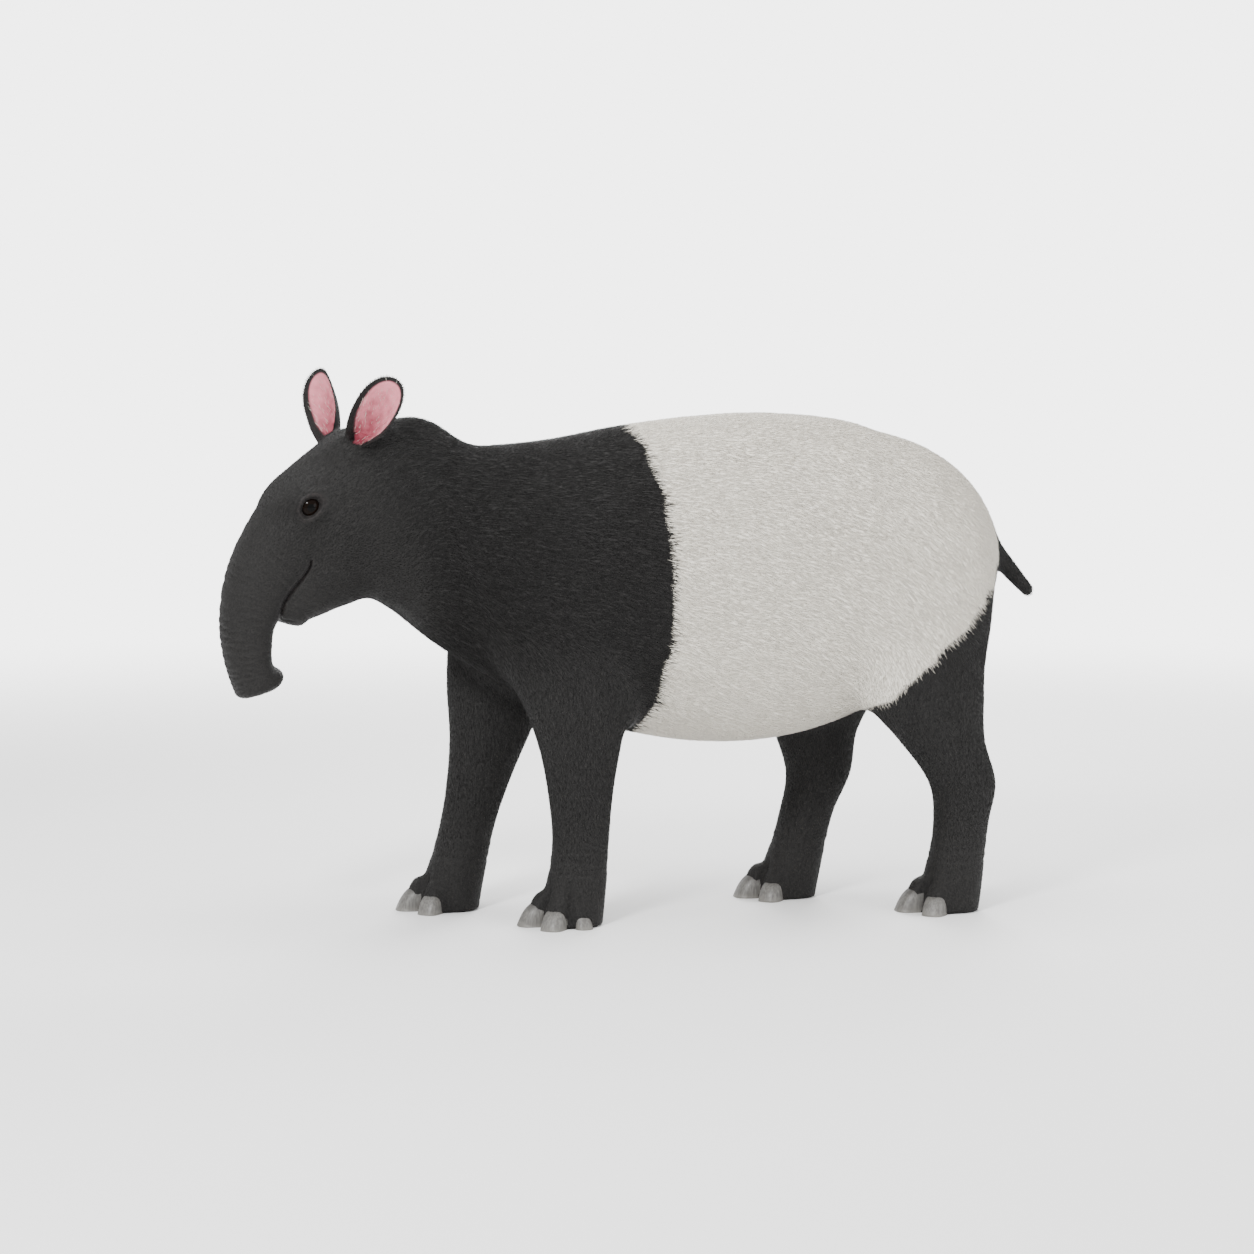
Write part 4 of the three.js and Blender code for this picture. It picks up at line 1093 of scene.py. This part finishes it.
def unwrap(ob):
    """The skin's own unwrap, which its coat shares."""
    ob.data.uv_layers.new(name="OFBake")
    bpy.context.view_layer.objects.active = ob
    ob.select_set(True)
    bpy.ops.object.mode_set(mode="EDIT")
    bpy.ops.mesh.select_all(action="SELECT")
    bpy.ops.uv.smart_project(angle_limit=math.radians(66), island_margin=0.001)
    bpy.ops.object.mode_set(mode="OBJECT")


# The lie of the coat: which way it runs down the legs, and how far it fans out and strays
LIE = {"leg": (0.12, 0, -1.0), "fan": 0.9, "swirl": 0.14}


def leg_share(p):
    """One on the legs below the body, none on the trunk."""
    share = np.zeros(len(p))
    for leg in LEGS:
        near = in_room(leg, p) & (p[:, 2] < 640)
        on_leg = ramp(leg_distance(leg, *p[near].T), 30, 4) * ramp(p[near, 2], 620, 430)
        share[near] = np.maximum(share[near], on_leg)
    return share


def head_share(p):
    u, _, _ = in_head(*p.T)
    return ramp(u, -120, 20) * ramp(p[:, 0], -400, -500)


def tail_share(p):
    return ramp(tail(*p.T), 6, -2) * ramp(p[:, 0], 640, 690)


def lie_of_coat(p, normals, share):
    """The way that the hair points, along the skin."""
    rearward = ramp(p[:, 0], 150, 560)
    way = np.stack([np.ones(len(p)), np.zeros(len(p)), -0.25 - 0.6 * rearward], -1)
    way += share["leg"][:, None] * (LIE["leg"] - way)
    u, v, _ = in_head(*p.T)
    at, _ = nearest_on(FACE_LINE, u, v)
    over_face = units(FACE_LINE[at] - FACE_LINE[at + 1]) @ HEAD_TURN[:, :2].T
    way += share["head"][:, None] * (over_face - way)
    down_tail = unit(np.subtract(TAIL["tip"], TAIL["root"]))
    way += share["tail"][:, None] * (down_tail - way)
    for name in SIDES:
        _, up, _, across = EAR_FRAMES[name]
        _, v, _ = in_ear(p, name)
        fanned = up + LIE["fan"] * np.clip(v, -1, 1)[:, None] * across
        way += ear_share(p, name)[:, None] * (fanned - way)
    swirl = np.stack([ripple(p, 60, seed=20 + i) for i in range(3)], -1)
    way = units(way) + LIE["swirl"] * swirl
    way -= (way * normals).sum(1)[:, None] * normals
    return way / np.maximum(lengths(way), 1e-6)[:, None]


def ear_share(p, name):
    t, v, off = in_ear(p, name)
    return ((t > 0.1) & (t < 1.08) & (np.abs(v) < 1.15) & (np.abs(off) < 22)).astype(float)


# The coat. Each row: hair length and width in mm, and tufts for each square metre
COAT = {
    "body": (15, 1.8, 84_000),
    "neck": (17, 1.9, 84_000),
    "leg": (10, 1.3, 104_000),
    "foot": (6, 1.0, 120_000),
    "cheek": (8, 1.1, 160_000),
    "muzzle": (4.5, 0.75, 230_000),
    "ear": (6.5, 0.9, 200_000),
    "ear_inside": (12, 0.8, 12_000),
    "tail": (11, 1.4, 110_000),
}


def coat_sizes(p, share):
    """Hair length, width and count for each point, blended from one region to the next."""
    size = np.tile(np.array(COAT["body"], float), (len(p), 1))

    def turn(amount, name):
        size[:] += amount[:, None] * (COAT[name] - size)

    turn(ramp(p[:, 0], -180, -360), "neck")
    turn(share["leg"], "leg")
    turn(ramp(p[:, 2], 260, 60), "foot")
    u, v, _ = in_head(*p.T)
    station = face_station(u, v)
    turn(share["head"] * ramp(station, 0.2, 1.6), "cheek")
    turn(share["head"] * ramp(station, 2.2, 4.4), "muzzle")
    turn(share["tail"], "tail")
    for name in SIDES:
        turn(ear_share(p, name), "ear")
    turn(share["pink"], "ear_inside")
    return size


def triangles_of(mesh):
    mesh.calc_loop_triangles()
    return (read(mesh.loop_triangles, key, 3, np.int32) for key in ("vertices", "loops"))


def uv_of(mesh):
    return read(mesh.uv_layers["OFBake"].data, "uv", 2).astype(float)


def shares_of(p):
    return {"leg": leg_share(p), "head": head_share(p), "tail": tail_share(p), "pink": pink_share(p)}


def coat_roots(ob, rng, thinning):
    """Seeded places on the skin, with their normals, places on its unwrap, sizes and lie."""
    mesh = ob.data
    points, normals = own_frame(mesh), normals_of(mesh)
    corners, loops = triangles_of(mesh)
    a, b, c = (points[corners[:, i]] for i in range(3))
    middle = (a + b + c) / 3
    area = lengths(np.cross(b - a, c - a)) / 2 * MM * MM
    share = shares_of(middle)
    number = area * coat_sizes(middle, share)[:, 2]
    number *= 1 - np.maximum(bare_share(middle), lid_share(middle))
    number *= 1 - share["pink"] * (cup_depth(middle) < HAIRY_CUP)
    number *= (middle[:, 2] > 4) * thinning
    total = np.cumsum(number)
    even = np.arange(0.5, total[-1], 1.0)
    picks = np.searchsorted(total, even + rng.uniform(-0.45, 0.45, int(total[-1] + 0.5)))
    picks = np.clip(picks, 0, len(corners) - 1)
    first, second = rng.random(len(picks)), rng.random(len(picks))
    over = first + second > 1
    first[over], second[over] = 1 - first[over], 1 - second[over]
    weights = np.stack([1 - first - second, first, second], -1)[..., None]
    spots = (points[corners[picks]] * weights).sum(1)
    out = units((normals[corners[picks]] * weights).sum(1))
    uv = (uv_of(mesh)[loops[picks]] * weights).sum(1)
    share = shares_of(spots)
    size, lie = coat_sizes(spots, share), lie_of_coat(spots, out, share)
    return {"p": spots, "out": out, "uv": uv, "size": size, "lie": lie, "share": share}


COAT_ENDS = {"neck": -190, "shoulders": 200, "upper": 700}  # two places along X, and a height


def coat_regions(roots, white):
    """The piece of the coat that each tuft belongs to."""
    p, share = roots["p"], roots["share"]
    left = p[:, 1] < 0
    side = np.where(left, "_left", "_right")
    behind = np.where(p[:, 0] < COAT_ENDS["shoulders"], "shoulders", "rump")
    region = np.where(p[:, 0] < COAT_ENDS["neck"], "neck", behind)
    region = np.char.add(region, side)
    for leg in LEGS:
        near = in_room(leg, p) & (share["leg"] > 0.5) & (left == (leg["sign"] < 0))
        region = np.where(near, "leg_" + leg["name"], region)
    _, _, w = in_head(*p.T)
    region = np.where(share["head"] > 0.5, np.where(w < 0, "head_left", "head_right"), region)
    region = np.where(share["tail"] > 0.5, "tail", region)
    for name in SIDES:
        region = np.where(ear_share(p, name) > 0.5, "ear_" + name, region)
    region = np.where(share["pink"] > 0.5, "ear_inside", region)
    level = np.where(p[:, 2] > COAT_ENDS["upper"], "_upper", "_lower")
    return np.where(white, np.char.add(np.char.add("saddle", side), level), region)


TUFT_FACES = np.array([(0, 2, 1), (0, 1, 3), (1, 2, 3), (2, 0, 3)])
# How a tuft's roots and tip stand off the skin, and how its sizes and its turn vary from the coat's
TUFT = {
    "root": -0.7, "tip": 0.17, "ridge": 0.42, "turn": 0.13, "length": (0.75, 1.2), "width": (0.75, 1.25),
    "rise": (0.55, 1.35),
}
PATCH = 0.003  # how large each tuft's patch is on the unwrap
CLEAR_OF_FLOOR = 0.4
HAIRY_CUP = 0.5  # the cup's hairs grow where its depth is above this


def tuft_points(roots, rng):
    """Four corners for each tuft: a sunk triangle at the root, and the tip."""
    count = len(roots["p"])
    length = roots["size"][:, 0] * rng.uniform(*TUFT["length"], count)
    width = roots["size"][:, 1] * rng.uniform(*TUFT["width"], count)
    out, lie = roots["out"], roots["lie"]
    aside = np.cross(out, lie)
    turn = rng.normal(0, TUFT["turn"], count)[:, None]
    lie, aside = lie * np.cos(turn) + aside * np.sin(turn), aside * np.cos(turn) - lie * np.sin(turn)
    base = roots["p"] + TUFT["root"] * out
    half = (width / 2)[:, None] * aside
    ridge = base + (TUFT["ridge"] * width)[:, None] * out
    rise = TUFT["tip"] * length * rng.uniform(*TUFT["rise"], count)
    tip = roots["p"] + length[:, None] * lie + rise[:, None] * out
    corners = np.stack([base - half, base + half, ridge, tip], 1)
    corners[..., 2] += np.maximum(CLEAR_OF_FLOOR - corners[..., 2].min(1), 0)[:, None]
    return corners


def coat_mesh(name, corners, uv, tone):
    """A mesh of many closed tufts, each a patch on the skin's unwrap."""
    count = len(corners)
    mesh = bpy.data.meshes.new(name)
    faces = (TUFT_FACES[None] + 4 * np.arange(count)[:, None, None]).reshape(-1, 3)
    mesh.vertices.add(count * 4)
    mesh.vertices.foreach_set("co", in_frame(corners.reshape(-1, 3)))
    mesh.loops.add(len(faces) * 3)
    mesh.loops.foreach_set("vertex_index", faces.astype(np.int32).ravel())
    mesh.polygons.add(len(faces))
    mesh.polygons.foreach_set("loop_start", np.arange(0, len(faces) * 3, 3, dtype=np.int32))
    mesh.update(calc_edges=True)
    spread = np.array([(-0.5, 0), (0.5, 0), (0, 0.25), (0, 1)]) * PATCH
    corner_uv = (uv[:, None] + spread[None]).reshape(-1, 2)[faces.ravel()]
    mesh.uv_layers.new(name="OFBake").data.foreach_set("uv", corner_uv.astype(np.float32).ravel())
    add_values(mesh, {"tone": np.repeat(tone, 4), "tip": np.tile([0.0, 0.0, 0.25, 1.0], count)})
    mesh.shade_smooth()
    return mesh


def make_coat(ob):
    rng = np.random.default_rng(SEED)
    roots = coat_roots(ob, rng, 1.0)
    corners = tuft_points(roots, rng)
    count = len(corners)
    white = saddle(roots["p"]) + rng.normal(0, 5, count) > 0
    regions = coat_regions(roots, white)
    tone = rng.random(count)
    for region in sorted(set(regions)):
        chosen = regions == region
        mesh = coat_mesh(f"coat_{region}", corners[chosen], roots["uv"][chosen], tone[chosen])
        if region.startswith("saddle") or region == "ear_inside":
            add_piece(mesh, white_hair, "white_coat")
        else:
            add_piece(mesh, black_hair, "black_coat")
        print(mesh.name, len(mesh.polygons), "triangles")


# Where the lashes stand, in degrees round the eye and as a share of the lids' own angle, and their size
LASHES = {
    "count": 38, "from": 12, "to": 165, "length": 10.5, "width": 0.75, "share": 1.14, "sunk": 0.6,
    "from_above": 11,
}


def make_lashes(name, eye):
    """Short stiff lashes along the edge of the upper lid."""
    rng = np.random.default_rng(SEED + len(name))
    centre, out, ahead, up = eye
    count = LASHES["count"]
    turns = np.radians(np.linspace(LASHES["from"], LASHES["to"], count)) + rng.normal(0, 0.02, count)
    spoke = np.cos(turns)[:, None] * ahead + np.sin(turns)[:, None] * up
    tilt = (LASHES["share"] * lid_tilt(np.cos(turns), np.sin(turns)))[:, None]
    along = np.cos(tilt) * out + np.sin(tilt) * spoke
    over = np.cos(tilt) * spoke - np.sin(tilt) * out
    lie = units(0.8 * along + 0.6 * over + rng.normal(0, 0.08, (count, 3)))
    ridge = over - (over * lie).sum(1)[:, None] * lie
    aside = np.cross(ridge, lie) * LASHES["width"] / 2
    above = centre + (EYE["radius"] + LASHES["from_above"]) * along
    base = draw_in(skin, above, turns=4) - LASHES["sunk"] * along
    length = LASHES["length"] * (0.55 + 0.45 * np.sin(turns)) * rng.uniform(0.75, 1.15, count)
    ends = [base - aside, base + aside, base + LASHES["width"] * ridge, base + length[:, None] * lie]
    uv = np.stack([(np.arange(count) + 0.5) / count, np.full(count, 0.5)], -1)
    mesh = coat_mesh(f"lashes_{name}", np.stack(ends, 1), uv, rng.random(count))
    add_piece(mesh, black_hair, "black_coat")


# Materials

class Paint:
    """The nodes of one material. Constants are set straight on the shader's own sockets."""

    def __init__(self, name, **constants):
        self.material = bpy.data.materials.new(name)
        self.material.use_nodes = True
        self.tree = self.material.node_tree
        self.shader = self.tree.nodes["Principled BSDF"]
        for socket, value in constants.items():
            self.shader.inputs[socket.replace("_", " ")].default_value = value

    def node(self, kind, inputs=(), **settings):
        node = self.tree.nodes.new(kind)
        for key, value in settings.items():
            setattr(node, key, value)
        for socket, value in dict(inputs).items():
            self.feed(node.inputs[socket], value)
        return node

    def feed(self, socket, value):
        if isinstance(value, bpy.types.NodeSocket):
            self.tree.links.new(value, socket)
        else:
            socket.default_value = value

    def place(self, stretch=(1, 1, 1)):
        """The object's own coordinates, stretched."""
        spot = self.node("ShaderNodeTexCoord").outputs["Object"]
        return self.node("ShaderNodeMapping", {"Vector": spot, "Scale": stretch}).outputs[0]

    def noise(self, scale, detail=3.0, stretch=(1, 1, 1), rough=0.5):
        inputs = {"Vector": self.place(stretch), "Scale": scale, "Detail": detail, "Roughness": rough}
        return self.node("ShaderNodeTexNoise", inputs).outputs["Fac"]

    def cells(self, scale, stretch=(1, 1, 1)):
        inputs = {"Vector": self.place(stretch), "Scale": scale}
        return self.node("ShaderNodeTexVoronoi", inputs, feature="DISTANCE_TO_EDGE").outputs["Distance"]

    def value(self, name):
        return self.node("ShaderNodeAttribute", attribute_name=name).outputs["Fac"]

    def math(self, operation, a, b=0.0):
        return self.node("ShaderNodeMath", {0: a, 1: b}, operation=operation).outputs[0]

    def span(self, value, low, high, start=0.0, end=1.0):
        """The value's way from low to high, smoothly, as a number from start to end."""
        inputs = {"Value": value, "From Min": low, "From Max": high, "To Min": start, "To Max": end}
        return self.node("ShaderNodeMapRange", inputs, interpolation_type="SMOOTHSTEP").outputs[0]

    def mix(self, share, a, b):
        """From colour a to colour b."""
        mixer = self.node("ShaderNodeMix", data_type="RGBA")
        for socket, value in ((0, share), (6, a), (7, b)):
            self.feed(mixer.inputs[socket], (*value, 1) if isinstance(value, tuple) else value)
        return mixer.outputs[2]

    def finish(self, colour, roughness=None, height=None, strength=0.5, distance=0.001):
        self.feed(self.shader.inputs["Base Color"], colour)
        if roughness is not None:
            self.feed(self.shader.inputs["Roughness"], roughness)
        if height is not None:
            bump = self.node("ShaderNodeBump", {"Height": height, "Strength": strength, "Distance": distance})
            self.feed(self.shader.inputs["Normal"], bump.outputs[0])
        return self.material


BLACK = {"root": (0.0060, 0.0058, 0.0056), "tip": (0.0175, 0.0165, 0.0158), "skin": (0.0080, 0.0077, 0.0075)}
WHITE = {"root": (0.56, 0.52, 0.45), "tip": (0.82, 0.785, 0.705), "skin": (0.64, 0.60, 0.52)}
# The deep pink is darker as painted shade in the cups' hollows, and redder as a flush of the skin there.
PINK_AND_CUP_SHADE = ((0.68, 0.235, 0.28), (0.20, 0.028, 0.045))  # at the ears' rims, and deep in their cups
BARE = ((0.006, 0.0055, 0.0055), (0.016, 0.0135, 0.013))
HORN = {
    "streaks": ((0.078, 0.075, 0.070), (0.142, 0.137, 0.127)),
    "root": (0.055, 0.052, 0.048),
    "worn": (0.17, 0.162, 0.146),
}
IRIS = {
    "pupil": (0.002, 0.002, 0.002),
    "fibres": ((0.0022, 0.0012, 0.0009), (0.0065, 0.0032, 0.002)),
    "rim": (0.004, 0.003, 0.003),
}


def hair_material(name, colours, roughness):
    """Hair paler to its tips and uneven from tuft to tuft, with wide soft patches over the body."""
    paint = Paint(name, Sheen_Weight=0.02, Sheen_Roughness=0.5, Specular_IOR_Level=0.17)
    along = paint.span(paint.value("tip"), 0.0, 1.0)
    tone = paint.value("tone")
    uneven = paint.math("MULTIPLY", along, paint.span(tone, 0.0, 1.0, 0.35, 1.0))
    patchy = paint.span(paint.noise(5, 3), 0.3, 0.7, 0.85, 1.08)
    colour = paint.mix(paint.math("MULTIPLY", uneven, patchy), colours["root"], colours["tip"])
    rough = paint.span(tone, 0.0, 1.0, roughness - 0.08, roughness + 0.08)
    height = paint.noise(900, 2)
    return paint.finish(colour, rough, height, strength=0.15, distance=0.0004)


def skin_material():
    """Dark and white skin with the markings' edge, short hair as bump, pink ears painted darker deep in their
    cups as shade, and moist snout.
    """
    paint = Paint("hide", Sheen_Weight=0.02, Sheen_Roughness=0.5, Specular_IOR_Level=0.17)
    fine = paint.noise(420, 3)
    ragged = paint.math("MULTIPLY", paint.math("SUBTRACT", fine, 0.5), 18.0)
    edge = paint.math("ADD", paint.value("white"), ragged)
    grain = paint.span(paint.noise(380, 3), 0.3, 0.7)
    dark = paint.mix(grain, BLACK["skin"], BLACK["tip"])
    pale = paint.mix(grain, WHITE["skin"], WHITE["tip"])
    coat = paint.mix(paint.span(edge, -4, 4), dark, pale)
    # Painted shade: the ears' inside turns darker and redder with the cup's depth, mottled, as shade in the
    # hollow and as a flush of the skin.
    mottled = paint.math("MULTIPLY", paint.math("SUBTRACT", paint.noise(70, 5), 0.5), 0.7)
    cup_shade_and_flush = paint.span(paint.math("ADD", paint.value("depth"), mottled), 0.3, 1.15)
    flesh = paint.mix(cup_shade_and_flush, *PINK_AND_CUP_SHADE)
    coat = paint.mix(paint.value("pink"), coat, flesh)
    moist = paint.mix(paint.span(paint.noise(160, 4), 0.3, 0.7), *BARE)
    bare = paint.value("bare")
    coat = paint.mix(bare, coat, moist)
    along = paint.noise(160, 3, (0.22, 1.6, 1.6))
    downward = paint.noise(160, 3, (1.6, 1.6, 0.22))
    down = paint.value("down")
    strands = paint.math("ADD", along, paint.math("MULTIPLY", down, paint.math("SUBTRACT", downward, along)))
    pores = paint.span(paint.cells(520), 0.0, 0.35)
    smooth_lid = paint.span(paint.value("lid"), 0.0, 1.0, 1.0, 0.25)
    height = paint.math("ADD", strands, paint.math("MULTIPLY", pores, 0.3))
    height = paint.math("MULTIPLY", height, smooth_lid)
    rough = paint.span(bare, 0.0, 1.0, 0.62, 0.4)
    rough = paint.math("MAXIMUM", rough, paint.math("MULTIPLY", paint.value("lid"), 0.58))
    return paint.finish(coat, rough, height, strength=0.55, distance=0.0016)


def horn_material():
    """Toenails: pale horn with growth rings across, faint streaks down, dark roots and worn, dusty tips."""
    paint = Paint("toenail", Specular_IOR_Level=0.45, Coat_Weight=0.06, Coat_Roughness=0.35)
    rings = paint.noise(110, 3, (0.2, 0.2, 3.4))
    streaks = paint.noise(120, 3, (3.0, 3.0, 0.22))
    base = paint.mix(paint.span(streaks, 0.3, 0.7), *HORN["streaks"])
    level = paint.node("ShaderNodeSeparateXYZ", {0: paint.place()}).outputs[2]
    rooted = paint.mix(paint.span(level, 0.026, 0.046), base, HORN["root"])
    worn = paint.math("MULTIPLY", paint.span(level, 0.014, 0.0), 0.6)
    colour = paint.mix(worn, rooted, HORN["worn"])
    height = paint.math("ADD", rings, paint.math("MULTIPLY", streaks, 0.35))
    rough = paint.span(paint.noise(90, 3), 0.3, 0.7, 0.38, 0.54)
    return paint.finish(colour, rough, height, strength=0.4, distance=0.0009)


def eye_material():
    """A dark brown iris round its pupil, dark at the rim, all under a wet shine."""
    paint = Paint("eyeball", Specular_IOR_Level=0.06, Roughness=0.04)
    gaze = paint.value("gaze")
    fibres = paint.span(paint.noise(700, 4), 0.3, 0.7)
    colour = paint.mix(paint.span(gaze, 0.27, 0.33), IRIS["pupil"], paint.mix(fibres, *IRIS["fibres"]))
    colour = paint.mix(paint.span(gaze, 0.62, 0.74), colour, IRIS["rim"])
    return paint.finish(colour)


# Eyes and hooves

CORNEA = {"bulge": 0.045, "wide": 0.42}  # a share of the eye's radius, and an angle off its axis


def make_eye(name, eye, around=56, along=32):
    """A ball with a low clear bulge over the iris, whole round the back."""
    centre, out, ahead, up = eye
    angles = np.linspace(0, np.pi, along + 1)[1:-1]
    turns = np.linspace(0, 2 * np.pi, around, endpoint=False)
    radius = EYE["radius"] * (1 + CORNEA["bulge"] * bell(angles, CORNEA["wide"]))
    ring = np.cos(turns)[:, None] * ahead + np.sin(turns)[:, None] * up
    deep, wide = (radius * turn(angles) for turn in (np.cos, np.sin))
    rows = deep[:, None, None] * out + wide[:, None, None] * ring[None]
    pole = np.array([out * EYE["radius"] * (1 + CORNEA["bulge"]), -out * EYE["radius"]])
    points = np.concatenate([rows.reshape(-1, 3), pole]) + centre
    last = len(points) - 1
    faces = ring_faces(len(angles), around)
    for j in range(around):
        k = (j + 1) % around
        faces.append((last - 1, j, k))
        faces.append((last, (len(angles) - 1) * around + k, (len(angles) - 1) * around + j))
    mesh = new_mesh(f"eye_{name}_ball", points, faces)
    add_values(mesh, {"gaze": np.concatenate([np.repeat(angles, around), [0, np.pi]])})
    with editing(mesh) as bm:
        bmesh.ops.recalc_face_normals(bm, faces=bm.faces)
    add_piece(mesh, eyeball, "eye", f"eye_{name}")


def make_hoof(leg, name, toe):
    """A toenail: a squarish ball leaned back and flat underneath."""
    x, y, ahead = toe_place(leg, toe)
    size = toe[2]
    turn = math.atan2(ahead[1], ahead[0])
    mesh = bpy.data.meshes.new(f"nail_{leg['name']}_{name}")
    with editing(mesh) as bm:
        bmesh.ops.create_uvsphere(bm, u_segments=40, v_segments=28, radius=1)
        for vert in bm.verts:
            p = np.array(vert.co)
            p = p * (np.abs(p) ** HOOF["power"]).sum() ** (-1 / HOOF["power"])
            p = p * [HOOF["length"] * size, HOOF["width"] * size, HOOF["height"] * size]
            p[0] -= HOOF["lean"] * p[2]
            along, side = p[0] + HOOF["ahead"] * size, p[1]
            vert.co = Vector((
                x + along * math.cos(turn) - side * math.sin(turn) + SHIFT,
                y + along * math.sin(turn) + side * math.cos(turn),
                p[2])) * MM
        whole = [*bm.verts, *bm.edges, *bm.faces]
        cut = bmesh.ops.bisect_plane(
            bm, geom=whole, plane_co=(0, 0, 0), plane_no=(0, 0, -1), clear_outer=True)["geom_cut"]
        bmesh.ops.contextual_create(bm, geom=[e for e in cut if isinstance(e, bmesh.types.BMEdge)])
    mesh.shade_smooth()
    add_piece(mesh, toenail, "horn", f"hoof_{leg['name']}_{name}")


# Camera, floor and lights

VIEW = {"azimuth": -12, "elevation": 5, "distance": 5.9, "target": (-0.019, 0, 0.573)}
LENS = {"length": 85, "sensor": 36, "clip_end": 200}
BACKGROUND = (0.93, 0.93, 0.93)
AMBIENT = 1.4
BACKDROP = 5.0
FLOOR = {"radius": 40.0, "near": 2.0, "far": 6.5, "colour": (0.87, 0.87, 0.87, 1)}
# Each light's place, what it points at, its width in metres and its power in watts
LIGHTS = {
    "key": ((-2.4, -3.2, 3.4), (0, 0, 0.6), 1.0, 220),
    "fill": ((3.4, -2.8, 1.8), (0, 0, 0.5), 2.6, 60),
    "edge": ((1.5, 3.0, 2.8), (0, 0, 0.6), 1.8, 170),
    "top": ((0, 0, 4.0), (0, 0, 0.5), 2.8, 130),
}


def aim(ob, at, target):
    ob.location = at
    ob.rotation_euler = (Vector(target) - Vector(at)).to_track_quat("-Z", "Y").to_euler()


def make_camera():
    camera = bpy.data.cameras.new("camera")
    camera.lens, camera.sensor_width, camera.clip_end = LENS["length"], LENS["sensor"], LENS["clip_end"]
    ob = scene_object("camera", camera)
    a, e = math.radians(VIEW["azimuth"]), math.radians(VIEW["elevation"])
    back = Vector((math.sin(a) * math.cos(e), -math.cos(a) * math.cos(e), math.sin(e)))
    aim(ob, Vector(VIEW["target"]) + back * VIEW["distance"], VIEW["target"])
    bpy.context.scene.camera = ob


def make_light(name, at, target, size, watts):
    light = bpy.data.lights.new(name, "AREA")
    light.shape, light.size, light.energy = "DISK", size, watts
    aim(scene_object(name, light), at, target)


def make_floor():
    """A pale floor that fades into the plain backdrop with distance, so that no horizon shows."""
    mesh = bpy.data.meshes.new("floor")
    with editing(mesh) as bm:
        bmesh.ops.create_circle(bm, cap_ends=True, segments=96, radius=FLOOR["radius"])
    paint = Paint("floor", Roughness=0.9, Specular_IOR_Level=0.1)
    paint.finish(FLOOR["colour"], height=paint.noise(40, 4), strength=0.05, distance=0.002)
    radius = paint.node("ShaderNodeVectorMath", {0: paint.place()}, operation="LENGTH").outputs["Value"]
    clear = paint.node("ShaderNodeBsdfTransparent").outputs[0]
    far = paint.span(radius, FLOOR["near"], FLOOR["far"])
    both = paint.node("ShaderNodeMixShader", {0: far, 1: paint.shader.outputs[0], 2: clear}).outputs[0]
    paint.feed(paint.tree.nodes["Material Output"].inputs["Surface"], both)
    mesh.materials.append(paint.material)
    scene_object("floor", mesh)


def make_world():
    """Even pale surroundings. Seen straight on they are a bright backdrop, and they light more softly."""
    world = bpy.data.worlds.new("studio")
    world.use_nodes = True
    nodes, links = world.node_tree.nodes, world.node_tree.links
    ambient = nodes["Background"]
    backdrop = nodes.new("ShaderNodeBackground")
    for node, strength in ((ambient, AMBIENT), (backdrop, BACKDROP)):
        node.inputs[0].default_value = (*BACKGROUND, 1)
        node.inputs[1].default_value = strength
    mixer = nodes.new("ShaderNodeMixShader")
    links.new(nodes.new("ShaderNodeLightPath").outputs["Is Camera Ray"], mixer.inputs[0])
    links.new(ambient.outputs[0], mixer.inputs[1])
    links.new(backdrop.outputs[0], mixer.inputs[2])
    links.new(mixer.outputs[0], nodes["World Output"].inputs["Surface"])
    bpy.context.scene.world = world


# Making it all

black_hair = hair_material("black_hair", BLACK, 0.52)
white_hair = hair_material("white_hair", WHITE, 0.62)
toenail = horn_material()
eyeball = eye_material()

make_camera()
make_world()
make_floor()
for name, light in LIGHTS.items():
    make_light(name, *light)

hide = make_skin()
hide.data.materials.clear()
hide.data.materials.append(skin_material())
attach(hide, "root")
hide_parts(*FLESH)
make_coat(hide)
for name, eye in EYES.items():
    make_eye(name, eye)
    make_lashes(name, eye)
for leg in LEGS:
    for toe_name, toe in leg["toes"].items():
        make_hoof(leg, toe_name, toe)
